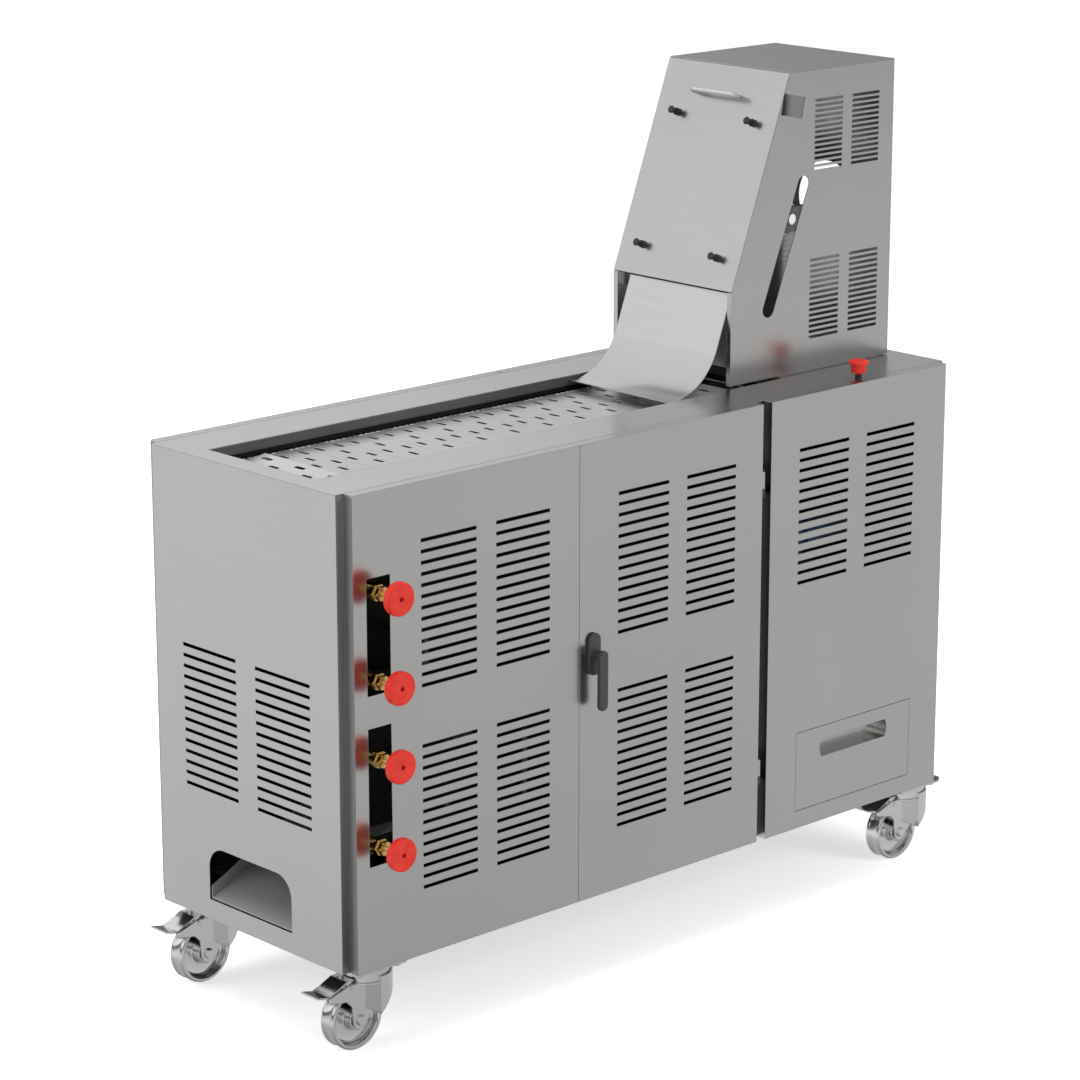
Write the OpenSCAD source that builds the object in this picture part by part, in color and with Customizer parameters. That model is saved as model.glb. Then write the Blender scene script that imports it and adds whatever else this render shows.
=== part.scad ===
// Floor-standing flatbread cooker: a sheeting tower feeds discs down a chute
// onto three stacked slat conveyors in a gas-fired cabinet on four castors.
// Origin: floor level, middle of the overall box. +X runs along the machine
// towards the tower, -Y is the service side, +Z is up. Millimetres.

/* [Cabinet] */
// Length over the two end panels
body_l = 1421; // [1400:1:1600]
// Depth over the front and back covers
body_d = 508; // [500:1:560]
// Height from the cabinet's lower edge to the deck
body_h = 790; // [785:1:850]
// Thickness of the folded sheet
sheet = 1.5; // [1:0.1:2]
// How far the front and back covers stand proud of the end panels
cover_depth = 21.5; // [21:0.5:26]
// Distance from an end panel's face to the nearest cover
end_inset = 14.8; // [14:0.2:20]
// Gap between the top deck or frame and a cover's flange
cover_gap = 1; // [0.5:0.1:2]
// Where the front panel ends and the service door begins
split_x = 500; // [480:1:520]
// Length of the service door
door_l = 433.3; // [420:1:440]
// Width of the recess beside the door, where the hinges sit
recess_w = 21.4; // [20:0.2:24]
// Side of the frame's square tube
tube = 25; // [20:1:28]

/* [Louvres] */
// Number of slots in a louvre group
louvre_count = 14; // [6:1:14]
// Slot spacing in the cabinet's louvres
louvre_pitch = 18.35; // [16:0.05:18.5]
// Height of one slot
louvre_h = 6; // [4:0.5:8]
// Slot length on the front panel and door
louvre_w = 118; // [80:1:130]
// Slot length on the tool box panel
tool_louvre_w = 126.7; // [90:1:140]
// Slot length on the left end panel
end_louvre_w = 137.3; // [90:1:150]
// Height of the first slot in an upper group
louvre_top_z = 693.4; // [680:1:710]
// Height of the first slot in a lower group
louvre_low_z = 353.5; // [345:1:380]
// Height of the first slot on the left end panel
end_louvre_z = 465.3; // [440:1:500]

/* [Outlet] */
// Width of the outlet in the left end panel
outlet_w = 214; // [180:1:217]
// Height of the outlet's lower edge
outlet_z = 35; // [32:1:45]
// Height of the outlet
outlet_h = 94; // [80:1:110]
// Corner radius at the top of the outlet
outlet_r = 38; // [10:1:40]
// Length of the sloping outlet tray
tray_l = 330; // [250:1:340]
// Rise of the tray over its length
tray_rise = 170; // [120:1:180]

/* [Valves] */
// Distance of the valve column from the left end
valve_x = 66.2; // [64:0.2:68]
// Heights of the four burner valves
valve_z = [626, 481, 352, 206];
// Width of the two valve windows
window_w = 48.5; // [40:0.5:50]
// Handwheel diameter
wheel_d = 55; // [40:1:70]
// Handwheel rim thickness
wheel_t = 14; // [8:1:16]
// Distance of the handwheel's face from the cover
wheel_out = 56; // [45:1:70]
// Spindle diameter
spindle_d = 8; // [6:0.5:10]

/* [Door handle] */
// Distance of the handle from the door's free edge
handle_in = 30.5; // [26:0.5:40]
// Height of the handle's pivot
handle_z = 430; // [400:1:500]
// Length of the backplate
plate_l = 73; // [60:1:90]
// Width of the backplate
plate_w = 27; // [22:1:30]
// Length of the lever below its pivot
lever_l = 94; // [70:1:120]
// Width of the lever
lever_w = 20; // [14:1:22]
// Distance of the lever's outer face from the door
lever_out = 28; // [24:1:40]

/* [Drawer] */
// Distance of the drawer front from the tool box panel's sides
drawer_in = 75.75; // [70:0.25:100]
// Height of the drawer front
drawer_h = 144.5; // [120:0.5:150]
// Height of the drawer front's lower edge
drawer_z = 33; // [30:1:40]
// Depth of the drawer body
drawer_d = 330; // [200:1:360]
// Distance of the finger scoop from the drawer front's sides
scoop_in = 61.25; // [50:0.25:80]
// Height of the scoop's middle above the drawer front's lower edge
scoop_up = 104; // [90:1:110]
// Height of the finger scoop
scoop_h = 32; // [24:1:36]
// Depth of the finger scoop
scoop_d = 27; // [15:1:30]

/* [Conveyor] */
// Length of the opening in the deck
trough_l = 1060; // [1050:1:1080]
// Width of the opening in the deck
trough_w = 272; // [260:1:276]
// Distance of the opening from the left end
trough_x = 41; // [35:1:60]
// Depth of the flange round the opening
trough_lip = 19; // [12:1:20]
// Slat top below the deck
slat_drop = 22; // [20:1:26]
// Slat spacing, six chain pitches
slat_pitch = 75.2; // [70:0.1:76.2]
// Slat width across the machine
slat_w = 218; // [200:1:220]
// Slat thickness
slat_t = 2; // [1.5:0.1:3]
// Gap between neighbouring slats
slat_gap = 0.8; // [0.5:0.1:1.5]
// Length of a slot in a slat
slot_l = 25; // [15:1:30]
// Width of a slot in a slat
slot_w = 8; // [5:0.5:9]
// Pitch radius of the conveyor sprockets
sprocket_r = 40.6; // [38:0.1:41]
// Height between one conveyor and the next
tier_drop = 200; // [190:1:200]
// Slats on the two upper conveyors
tier_slats = 28; // [26:1:28]
// Slats on the lowest conveyor
low_slats = 22; // [20:1:22]
// Distance of the upper left shafts from the left end
idler_x = 107.3; // [105:0.1:115]
// Chain width
chain_w = 17; // [12:0.5:18]
// Conveyor shaft diameter
shaft_d = 20; // [16:1:25]

/* [Tower] */
// Distance of the tower's mouth from the right end
tower_in = 440.5; // [430:0.5:450]
// Length of the tower's foot
tower_l = 408.8; // [380:0.2:420]
// Depth of the tower
tower_d = 290.6; // [280:0.2:300]
// Distance of the tower from the front covers' face
tower_y = 125.5; // [118:0.5:130]
// Height of the tower above the deck
tower_h = 536.4; // [500:0.2:560]
// Height of the mouth above the deck
mouth_h = 168.8; // [150:0.2:180]
// How far the front slopes back
slope_run = 137.3; // [110:0.1:150]
// Gap under the tower's foot
foot_gap = 2; // [1:0.5:4]
// Diameter of the sheeting rollers
roller_d = 60; // [50:1:60]
// Gap between the sheeting rollers
roller_gap = 3; // [2:0.5:5]
// Height of the sheeting rollers above the deck
roller_z = 278; // [274:1:284]
// Diameter of the dough opening in the tower's end
dough_d = 140; // [100:1:150]
// Height of the dough opening's middle above the deck
dough_up = 265.5; // [240:0.5:290]

/* [Chute] */
// Distance of the chute's front edge from the front covers' face
chute_y = 137; // [130:1:145]
// Width of the chute
chute_w = 248; // [220:1:250]
// Radius of the chute's bend
chute_r = 120; // [90:1:130]
// How far the chute's lip lies in front of the tower's mouth
chute_out = 134.5; // [120:0.5:150]
// Depth of the chute's lip below the deck
chute_drop = 9; // [6:1:12]

/* [Tower cover] */
// Knob diameter
knob_d = 15; // [13:1:20]
// Knob length
knob_l = 19; // [16:1:24]
// Spacing of the knobs across the cover
knob_span = 183.6; // [150:0.2:200]
// Distance of the lower knobs from the cover's lower edge
knob_low = 53.9; // [45:0.1:60]
// Distance of the upper knobs from the cover's lower edge
knob_high = 296; // [280:1:305]
// Length of the bow handle
bow_l = 124; // [110:1:140]
// Distance of the bow handle from the cover's lower edge
bow_s = 336; // [325:1:345]
// Distance the bow handle stands out
bow_out = 30; // [25:1:40]

/* [Emergency stop] */
// Diameter of the mushroom head
stop_d = 35.4; // [30:0.2:40]
// Distance of the stop button from the right end
stop_in = 215; // [190:1:240]
// Distance of the stop button from the front covers' face
stop_y = 30; // [29:0.5:36]
// Travel of the stop button
stop_travel = 4; // [3:0.5:5]

/* [Castors] */
// Height of a castor with its pad
castor_h = 147; // [140:1:160]
// Wheel diameter
castor_d = 107; // [100:1:110]
// Wheel width
castor_w = 32; // [26:1:34]
// Distance of the wheel's axle from the swivel axis
trail = 31; // [28:1:35]
// Length of the castor plate
plate_x = 105; // [95:1:110]
// Width of the castor plate
plate_y = 85; // [80:1:90]
// Distance of the left swivel axes from the left end
castor_left = 77; // [70:1:90]
// Distance of the right swivel axes from the right end
castor_right_in = 36; // [30:1:60]
// Distance of the swivel axes from the covers' faces
castor_in = 56; // [54:1:60]
// Reach of the brake pedal from the swivel axis
pedal_reach = 118; // [110:1:125]

/* [Gas] */
// Outer diameter of the hose spigot at the back
spigot_d = 12.7; // [9:0.1:14]
// Length of the spigot behind the back cover
spigot_l = 28; // [24:1:40]

/* [Hidden] */
$fn = 64;

// Shared clearances: between separate pieces, round running pieces, between
// solids of one node that touch, and the overlap that joins a solid's pieces
fit = 0.3;
running = 0.05;
weld = 0.1;
eps = 0.01;

// Places measured from the right end
castor_right = body_l - castor_right_in;
tower_x = body_l - tower_in;
chute_x = tower_x - chute_out;
stop_x = body_l - stop_in;

// Middle of the overall box
mid_x = (castor_left - pedal_reach + castor_right + plate_x / 2) / 2;
mid_y = (body_d + spigot_l - wheel_out) / 2;
center_y = body_d / 2;

// Everything from here on is written from the left end, the covers' front
// face and the cabinet's lower edge; placed() moves it to the origin above.
module placed() {
    translate([-mid_x, -mid_y, castor_h]) children();
}

// A box from its low corner to its high corner
module span(low, high) {
    translate(low) cube(high - low);
}

// A bar of round section between two points on one axis line
module rod(from, to, r) {
    run = to - from;
    turn = abs(run.x) > eps ? [0, run.x > 0 ? 90 : -90, 0]
         : abs(run.y) > eps ? [run.y > 0 ? -90 : 90, 0, 0]
         : [run.z > 0 ? 0 : 180, 0, 0];
    translate(from) rotate(turn) cylinder(r = r, h = norm(run));
}

// A flat outline in X and Z, made t thick along +Y from y
module upright(y, t) {
    translate([0, y + t, 0]) rotate([90, 0, 0]) linear_extrude(t) children();
}

// A group of horizontal slots to cut out of an upright sheet, in X and Z
module louvres_2d(center, top, w, count = louvre_count, pitch = louvre_pitch, h = louvre_h) {
    for (i = [0:count - 1])
        translate([center - w / 2, top - h / 2 - i * pitch]) square([w, h]);
}

/* ---------- cabinet ---------- */

frame_low = sheet;
frame_high = body_h - sheet;
frame_front = cover_depth + sheet;
frame_back = body_d - frame_front;
door_x0 = split_x + cover_gap / 2;
door_x1 = split_x + door_l;
tool_x0 = door_x1 + recess_w;
tool_x1 = body_l - end_inset + 0.5;
drawer_x = (tool_x0 + tool_x1) / 2 + 1;
drawer_l = tool_x1 - tool_x0 - 2 * drawer_in;
scoop_l = drawer_l - 2 * scoop_in;
back_split = 777;
back_gap = 2;
pad_t = 6;

// Castor positions, swivel axis, as [x, y]
castor_at = [
    [castor_left, castor_in], [castor_right, castor_in],
    [castor_left, body_d - castor_in], [castor_right, body_d - castor_in]];

module base_frame() {
    color("slategray") placed() {
        post_low = frame_low + tube + weld;
        post_high = frame_high - tube - weld;
        for (y = [frame_front, frame_back - tube])
            span([sheet, y, frame_low], [body_l - sheet, y + tube, frame_low + tube]);
        for (x = [sheet, body_l - sheet - tube], z = [frame_low, frame_high - tube])
            span([x, frame_front + tube + weld, z], [x + tube, frame_back - tube - weld, z + tube]);
        span([sheet, frame_back - tube, frame_high - tube], [body_l - sheet, frame_back, frame_high]);
        span([sheet, frame_front, frame_high - tube],
            [mid_post_x + tube, frame_front + tube, frame_high]);
        span([mid_post_x, frame_front + tube + weld, frame_high - tube],
            [body_l - sheet - tube - weld, frame_front + 2 * tube + weld, frame_high]);
        for (x = [sheet, mid_post_x])
            span([x, frame_front, post_low], [x + tube, frame_front + tube, post_high]);
        span([body_l - sheet - tube, frame_front, post_low],
            [body_l - sheet, frame_front + tube, frame_high]);
        for (x = [sheet, body_l - sheet - tube, mid_post_x])
            span([x, frame_back - tube, post_low], [x + tube, frame_back, post_high]);
        for (x = cross_x)
            span([x, frame_front + tube + weld, frame_low],
                [x + tube, frame_back - tube - weld, frame_low + tube]);
        for (c = castor_at) castor_pad(c);
    }
}
mid_post_x = (door_x1 + tool_x0 - tube) / 2;
cross_x = [420, 900];

// Mounting pad welded under a corner of the frame, drilled for the castor
bolt_x = 80;
bolt_y = 60;
bolt_r = 4.25;
module castor_pad(c) {
    difference() {
        span([c.x - plate_x / 2, c.y - plate_y / 2, -pad_t],
            [c.x + plate_x / 2, c.y + plate_y / 2, -weld]);
        castor_holes(c, -pad_t, pad_t);
    }
}

module castor_holes(c, z, h) {
    for (i = [-1, 1], j = [-1, 1])
        translate([c.x + i * bolt_x / 2, c.y + j * bolt_y / 2, z - 1])
            cylinder(r = bolt_r, h = h + 2);
}

module bottom_pan() {
    color("silver") placed()
        span([sheet + weld, frame_front, 0], [body_l - sheet - weld, frame_back, sheet - weld]);
}

module top_deck() {
    trough = [trough_x, center_y - trough_w / 2];
    color("gainsboro") placed() {
        difference() {
            span([0, cover_depth, body_h - sheet + weld], [body_l, body_d - cover_depth, body_h]);
            span([trough.x, trough.y, body_h - 2 * sheet],
                [trough.x + trough_l, trough.y + trough_w, body_h + 1]);
            translate([stop_x, stop_y, body_h - 2 * sheet]) cylinder(r = stop_hole_r, h = 3 * sheet);
        }
        difference() {
            span([trough.x - sheet, trough.y - sheet, body_h - trough_lip],
                [trough.x + trough_l + sheet, trough.y + trough_w + sheet, body_h - sheet + weld + eps]);
            span([trough.x, trough.y, body_h - trough_lip - 1],
                [trough.x + trough_l, trough.y + trough_w, body_h]);
        }
    }
}

// End panel in the plane of Y and Z with folded front and back edges. The
// left one has louvres and the outlet, the right one is plain.
end_louvre_off = 93.5;
module end_panel() {
    return_w = end_inset - 1;
    span([0, cover_depth, 0], [sheet, body_d - cover_depth, frame_high]);
    for (y = [cover_depth, body_d - cover_depth - sheet])
        span([0, y, 0], [return_w, y + sheet, frame_high]);
}

module outlet_2d() {
    translate([center_y, outlet_z]) {
        translate([-outlet_w / 2, 0]) square([outlet_w, outlet_h - outlet_r]);
        translate([outlet_r - outlet_w / 2, 0]) square([outlet_w - 2 * outlet_r, outlet_h]);
        for (side = [-1, 1])
            translate([side * (outlet_w / 2 - outlet_r), outlet_h - outlet_r]) circle(r = outlet_r);
    }
}

module left_end_panel() {
    color("lightgray") placed() difference() {
        end_panel();
        translate([-1, 0, 0]) rotate([90, 0, 90]) linear_extrude(sheet + 2) {
            for (side = [-1, 1])
                louvres_2d(center_y + side * end_louvre_off, end_louvre_z, end_louvre_w);
            outlet_2d();
        }
    }
}

module right_end_panel() {
    color("lightgray") placed() translate([body_l, 0, 0]) mirror([1, 0, 0]) end_panel();
}

// Tray-shaped cover facing -Y: a sheet with all four edges folded back
module cover_pan(x0, x1) {
    back = cover_depth - cover_gap;
    difference() {
        span([x0, 0, 0], [x1, back, body_h]);
        span([x0 + sheet, sheet, sheet], [x1 - sheet, back + 1, body_h - sheet]);
        upright(-1, sheet + 2) children();
    }
}

front_columns = [214, 374.5];
door_columns = [648, 808.6];
tool_columns = [drawer_x - 92.2, drawer_x + 80.3];
back_columns = [234, 395, 556];

module two_rows(columns, w) {
    for (x = columns, z = [louvre_top_z, louvre_low_z]) louvres_2d(x, z, w);
}

// Low and high edges of the two valve windows
window_z = [[valve_z[3] - 29.5, valve_z[2] + 54.5], [valve_z[1] - 20.5, valve_z[0] + 25.5]];

module front_panel() {
    color("silver") placed() cover_pan(end_inset, split_x - cover_gap / 2) {
        two_rows(front_columns, louvre_w);
        for (w = window_z)
            translate([valve_x - window_w / 2, w[0]]) square([window_w, w[1] - w[0]]);
    }
}

hinge_r = 4;
hinge_pin_r = 2.5;
hinge_x = door_x1 + hinge_r + 1.7;
hinge_y = hinge_r + 1;
hinge_l = 30;
hinge_z = [120, 640];

module service_door() {
    color("silver") placed() {
        cover_pan(door_x0, door_x1) {
            two_rows(door_columns, louvre_w);
            translate([door_x0 + handle_in, handle_z]) circle(r = neck_r + running);
        }
        for (z = hinge_z) difference() {
            union() {
                translate([hinge_x, hinge_y, z]) cylinder(r = hinge_r, h = hinge_l);
                span([door_x1 - eps, hinge_y - sheet / 2, z], [hinge_x, hinge_y + sheet / 2, z + hinge_l]);
            }
            translate([hinge_x, hinge_y, z - 1])
                cylinder(r = hinge_pin_r + running, h = hinge_l + 2);
        }
    }
}

// Fixed halves of the two door hinges, each with its pin
module door_hinges() {
    knuckle = 15;
    color("dimgray") placed() for (z = hinge_z) {
        translate([hinge_x, hinge_y, z - knuckle - fit]) {
            cylinder(r = hinge_pin_r, h = hinge_l + knuckle + 4);
            cylinder(r = hinge_r, h = knuckle);
            translate([0, -sheet / 2, 0]) cube([6, sheet, knuckle]);
            translate([6 - sheet, -sheet / 2, 0])
                cube([sheet, frame_front - hinge_y + sheet / 2 - weld, knuckle]);
        }
    }
}

drawer_gap = 0.8;
module tool_box_panel() {
    color("silver") placed() cover_pan(tool_x0, tool_x1) {
        for (x = tool_columns) louvres_2d(x, louvre_top_z, tool_louvre_w);
        translate([drawer_x - drawer_l / 2 - drawer_gap, drawer_z - drawer_gap])
            square([drawer_l + 2 * drawer_gap, drawer_h + 2 * drawer_gap]);
    }
}

module back_covers() {
    color("silver") placed() translate([0, body_d, 0]) mirror([0, 1, 0]) {
        cover_pan(end_inset, back_split - back_gap) {
            for (x = back_columns) louvres_2d(x, louvre_top_z, louvre_w);
            translate([gas_x, gas_z]) circle(r = spigot_hole_r);
        }
        cover_pan(back_split + back_gap, tool_x1);
    }
}

/* ---------- door handle ---------- */

plate_t = 6;
neck_r = 8;
lever_t = 8;
handle_x = door_x0 + handle_in;

module handle_backplate() {
    color("dimgray") placed() difference() {
        upright(-plate_t, plate_t - weld) translate([handle_x, handle_z]) {
            square([plate_w, plate_l - plate_w], center = true);
            for (side = [-1, 1]) translate([0, side * (plate_l - plate_w) / 2]) circle(d = plate_w);
        }
        rod([handle_x, -plate_t - 1, handle_z], [handle_x, 1, handle_z], neck_r + running);
    }
}

// Lever, neck, spindle and the latch cam behind the door sheet
module handle_lever() {
    cam_y = cover_depth - cover_gap + 1;
    cam_t = 3;
    cam_l = 34;
    cam_half = 7;
    color("dimgray") placed() {
        upright(-lever_out, lever_t) translate([handle_x, handle_z]) {
            circle(d = lever_w);
            translate([-lever_w / 2, -lever_l + lever_w / 2]) square([lever_w, lever_l - lever_w / 2]);
            translate([0, -lever_l + lever_w / 2]) circle(d = lever_w);
        }
        rod([handle_x, -lever_out + lever_t - eps, handle_z], [handle_x, cam_y + cam_t, handle_z], neck_r);
        span([handle_x - cam_half, cam_y, handle_z], [handle_x + cam_half, cam_y + cam_t, handle_z + cam_l]);
    }
}

/* ---------- drawer ---------- */

module drawer() {
    wall = 1.2;
    front_back = cover_depth - cover_gap;
    inner_l = drawer_l - 2 * runner_gap;
    low = drawer_z + runner_gap / 2;
    high = drawer_z + drawer_h - runner_gap;
    scoop_z = drawer_z + scoop_up;
    color("silver") placed() translate([drawer_x, 0, 0]) difference() {
        union() {
            span([-drawer_l / 2, 0, drawer_z], [drawer_l / 2, sheet, drawer_z + drawer_h]);
            difference() {
                span([-inner_l / 2, sheet - eps, low], [inner_l / 2, drawer_d, high]);
                span([-inner_l / 2 + wall, sheet + wall, low + wall],
                    [inner_l / 2 - wall, drawer_d - wall, high + 1]);
            }
            span([-scoop_l / 2 - wall, sheet - eps, scoop_z - scoop_h / 2 - wall],
                [scoop_l / 2 + wall, scoop_d + wall, scoop_z + scoop_h / 2 + wall]);
        }
        intersection() {
            span([-scoop_l / 2, -1, scoop_z - scoop_h / 2], [scoop_l / 2, scoop_d, scoop_z + scoop_h / 2]);
            union() {
                span([-scoop_l / 2 + scoop_bow, -1, scoop_z - scoop_h],
                    [scoop_l / 2 - scoop_bow, scoop_d, scoop_z + scoop_h]);
                for (side = [-1, 1])
                    rod([side * (scoop_l / 2 - scoop_bow_r), -1, scoop_z],
                        [side * (scoop_l / 2 - scoop_bow_r), scoop_d, scoop_z], scoop_bow_r);
            }
        }
    }
}
runner_gap = 8;
runner_h = 40;
scoop_bow = 5;
scoop_bow_r = (scoop_h * scoop_h / 4 + scoop_bow * scoop_bow) / (2 * scoop_bow);

// Angle runners on both sides of the drawer, screwed to cross bars
module drawer_runners() {
    t = 2;
    low = drawer_z + runner_gap / 2;
    color("dimgray") placed() for (side = [-1, 1])
        translate([drawer_x, 0, 0]) mirror([side < 0 ? 1 : 0, 0, 0]) {
            edge = drawer_l / 2 - runner_gap + fit;
            span([edge, frame_front + weld, low - t - fit], [edge + t, drawer_d, low + runner_h]);
            span([edge - 14, frame_front + weld, low - t - fit], [edge + eps, drawer_d, low - fit]);
            for (y = [frame_front + weld, drawer_d - 20])
                span([edge - 10, y, frame_low + (y < frame_front + tube ? tube + weld : 0)],
                    [edge - 4, y + 20, low - t - fit + eps]);
        }
}

/* ---------- conveyors ---------- */

slat_top = body_h - slat_drop;
chain_half = 6;
chain_in = 4.2;
pitch_line = slat_top - slat_t - chain_half - weld;
loop_tiers = [0, 1, 2];

// One conveyor: slat count, left shaft, right shaft, height of both shafts
function shaft_gap(count) = (count * slat_pitch - 2 * PI * sprocket_r) / 2;
drive_x = idler_x + shaft_gap(tier_slats);
function tier_count(t) = t < 2 ? tier_slats : low_slats;
function left_x(t) = drive_x - shaft_gap(tier_count(t));
function shaft_z(t) = pitch_line - sprocket_r - t * tier_drop;

// Place along a conveyor's chain at arc s, clockwise from the top left
// tangent point: [x, z, tilt]
function on_loop(s, t) =
    let (run = shaft_gap(tier_count(t)), turn = PI * sprocket_r, all = 2 * (run + turn),
        p = s - all * floor(s / all), r = sprocket_r, z = shaft_z(t))
    p < run ? [left_x(t) + p, z + r, 0]
    : p < run + turn ?
        let (a = (p - run) / r * 180 / PI) [drive_x + r * sin(a), z + r * cos(a), a]
    : p < 2 * run + turn ? [drive_x - (p - run - turn), z - r, 180]
    : let (a = (p - 2 * run - turn) / r * 180 / PI)
        [left_x(t) - r * sin(a), z - r * cos(a), 180 + a];

slot_columns = [-20.8, 0, 20.8];
slot_rows = 41.8;
lug_l = 24;
lug_reach = 6.5;
chain_y = slat_w / 2 + 4 + chain_w / 2;

module slat_2d(slotted) {
    difference() {
        union() {
            square([slat_pitch - slat_gap, slat_w], center = true);
            square([lug_l, slat_w + 2 * lug_reach], center = true);
        }
        if (slotted) for (i = [0:2], j = [-2:2])
            if ((i + j) % 2 == 0) translate([slot_columns[i], j * slot_rows]) {
                square([slot_w, slot_l - slot_w], center = true);
                for (end = [-1, 1])
                    translate([0, end * (slot_l - slot_w) / 2]) circle(d = slot_w, $fn = 24);
            }
    }
}

// The first seam on the top conveyor lies at seam_x
seam_x = 138.9;
slat_phase = seam_x + slat_pitch / 2 - idler_x;

module conveyor_slats() {
    color("lightgray") placed() for (t = loop_tiers, k = [0:tier_count(t) - 1]) {
        p = on_loop(slat_phase + k * slat_pitch, t);
        translate([p[0], center_y, p[1]]) rotate([0, p[2], 0])
            translate([0, 0, chain_half + weld]) linear_extrude(slat_t) slat_2d(t == 0);
    }
}

// One chain: two straight runs and the two half turns on its sprockets
module chain_loop(x0, x1, z, r, y) {
    inner = r - chain_in;
    outer = r + chain_half;
    gap = weld / 2;
    for (side = [-1, 1])
        span([x0 + gap, y, z + (side > 0 ? inner : -outer)],
            [x1 - gap, y + chain_w, z + (side > 0 ? outer : -inner)]);
    upright(y, chain_w) {
        half_ring(x0 - gap, z, inner, outer, -1);
        half_ring(x1 + gap, z, inner, outer, 1);
    }
}

module half_ring(x, z, inner, outer, side) {
    translate([x, z]) difference() {
        circle(r = outer);
        circle(r = inner);
        translate([side > 0 ? -2 * outer : 0, -outer]) square(2 * outer);
    }
}

// Conveyor chains, and the chain that links the first and third drive shafts
shaft_out = 30;
shaft_half = chain_y + chain_w / 2 + shaft_out;
link_y = center_y + shaft_half + 6;
link_w = 8;
link_r = 25;
link_half = 3;
sprocket_t = 7;
module roller_chains() {
    color("dimgray") placed() {
        for (t = loop_tiers, side = [-1, 1])
            chain_loop(left_x(t), drive_x, shaft_z(t), sprocket_r, center_y + side * chain_y - chain_w / 2);
        for (side = [-1, 1])
            span([drive_x + side * link_r - link_half, link_y, shaft_z(2)],
                [drive_x + side * link_r + link_half, link_y + link_w, shaft_z(0)]);
        for (t = [0, 2]) {
            side = t == 0 ? 1 : -1;
            upright(link_y, link_w) rotate(90) half_ring(shaft_z(t) + side * weld, -drive_x,
                link_r - link_half, link_r + link_half, side);
        }
    }
}

// Shaft with two conveyor sprockets. The first two drive shafts reach their
// gear motors at the front; the first and third carry link sprockets behind.
module sprocket(x, z, y0, y1, r) {
    difference() {
        rod([x, y0, z], [x, y1, z], r);
        rod([x, y0 - 1, z], [x, y1 + 1, z], shaft_d / 2 + eps);
    }
}

module conveyor_shaft(t, drive) {
    x = drive ? drive_x : left_x(t);
    z = shaft_z(t);
    linked = drive && t != 1;
    back = linked ? link_y + link_w + 2 : center_y + shaft_half;
    front = drive && t < 2 ? motor_y : center_y - shaft_half;
    rod([x, front, z], [x, back, z], shaft_d / 2);
    for (side = [-1, 1]) {
        mid = center_y + side * chain_y;
        sprocket(x, z, mid - sprocket_t / 2, mid + sprocket_t / 2, sprocket_r - chain_in - 2 * running);
    }
    if (linked) sprocket(x, z, link_y, link_y + link_w, link_r - link_half - 2 * running);
}

module drive_shaft(t) {
    color("gray") placed() conveyor_shaft(t - 1, true);
}

module idler_shaft(t) {
    color("gray") placed() conveyor_shaft(t - 1, false);
}

// Inner side walls of the oven, which carry the conveyor shafts
oven_t = 3;
oven_y = chain_y + chain_w / 2 + 4;
oven_x0 = 67;
oven_x1 = drive_x + 62;
oven_low = 190;
oven_high = body_h - trough_lip - 4;

module oven_side_plates() {
    color("darkgray") placed() for (side = [-1, 1]) {
        y = side < 0 ? center_y - oven_y - oven_t : center_y + oven_y;
        for (x = cross_x)
            span([x, y, frame_low + tube + weld], [x + tube, y + oven_t, oven_low + eps]);
        difference() {
            span([oven_x0, y, oven_low], [oven_x1, y + oven_t, oven_high]);
            for (t = loop_tiers, x = [left_x(t), drive_x])
                rod([x, y - 1, shaft_z(t)], [x, y + oven_t + 1, shaft_z(t)], shaft_d / 2 + 1);
            if (side < 0) for (k = [0:3])
                rod([feed_x(k), y - 1, burner_z[k]], [feed_x(k), y + oven_t + 1, burner_z[k]], feed_r + 0.5);
        }
    }
}

// Flange bearings: twelve on the conveyor shafts, four on the rollers
bearing_w = 12;
boss_wall = 14;
flange_t = 4;
flange_l = 62;
flange_h = 34;
module bearing(x, z, y0, y1, bore) {
    difference() {
        union() {
            upright(y0, y1 - y0) translate([x, z]) circle(r = bore + boss_wall);
            upright(y0, flange_t) translate([x, z]) square([flange_l, flange_h], center = true);
        }
        rod([x, y0 - 1, z], [x, y1 + 1, z], bore + running);
    }
}

module flange_bearings() {
    far = oven_y + oven_t;
    color("darkslategray") placed() {
        for (t = loop_tiers, x = [left_x(t), drive_x], side = [-1, 1])
            if (side > 0) bearing(x, shaft_z(t), center_y + far, center_y + far + bearing_w, shaft_d / 2);
            else translate([0, 2 * center_y, 0]) mirror([0, 1, 0])
                bearing(x, shaft_z(t), center_y + far, center_y + far + bearing_w, shaft_d / 2);
        for (x = roller_x) {
            roller_bearing(x, tower_y + sheet, 1);
            roller_bearing(x, tower_y + tower_d - sheet, -1);
        }
    }
}

module roller_bearing(x, y, side) {
    y0 = side > 0 ? y : y - roller_bearing_w;
    difference() {
        translate([x - roller_block.x / 2, y0, roller_abs_z - roller_block.y / 2])
            cube([roller_block.x, roller_bearing_w, roller_block.y]);
        rod([x, y0 - 1, roller_abs_z], [x, y0 + roller_bearing_w + 1, roller_abs_z],
            journal_r + running);
    }
}

/* ---------- motors ---------- */

motor_y = 30;
roller_bearing_w = 9.5;
drive_motor_w = 0.75 * (center_y - oven_y - oven_t - bearing_w - motor_y);
feed_motor_w = 42;
motor_gap = 2;
feed_motor_y = tower_y + tower_d - sheet - roller_bearing_w - feed_motor_w - motor_gap;

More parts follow.
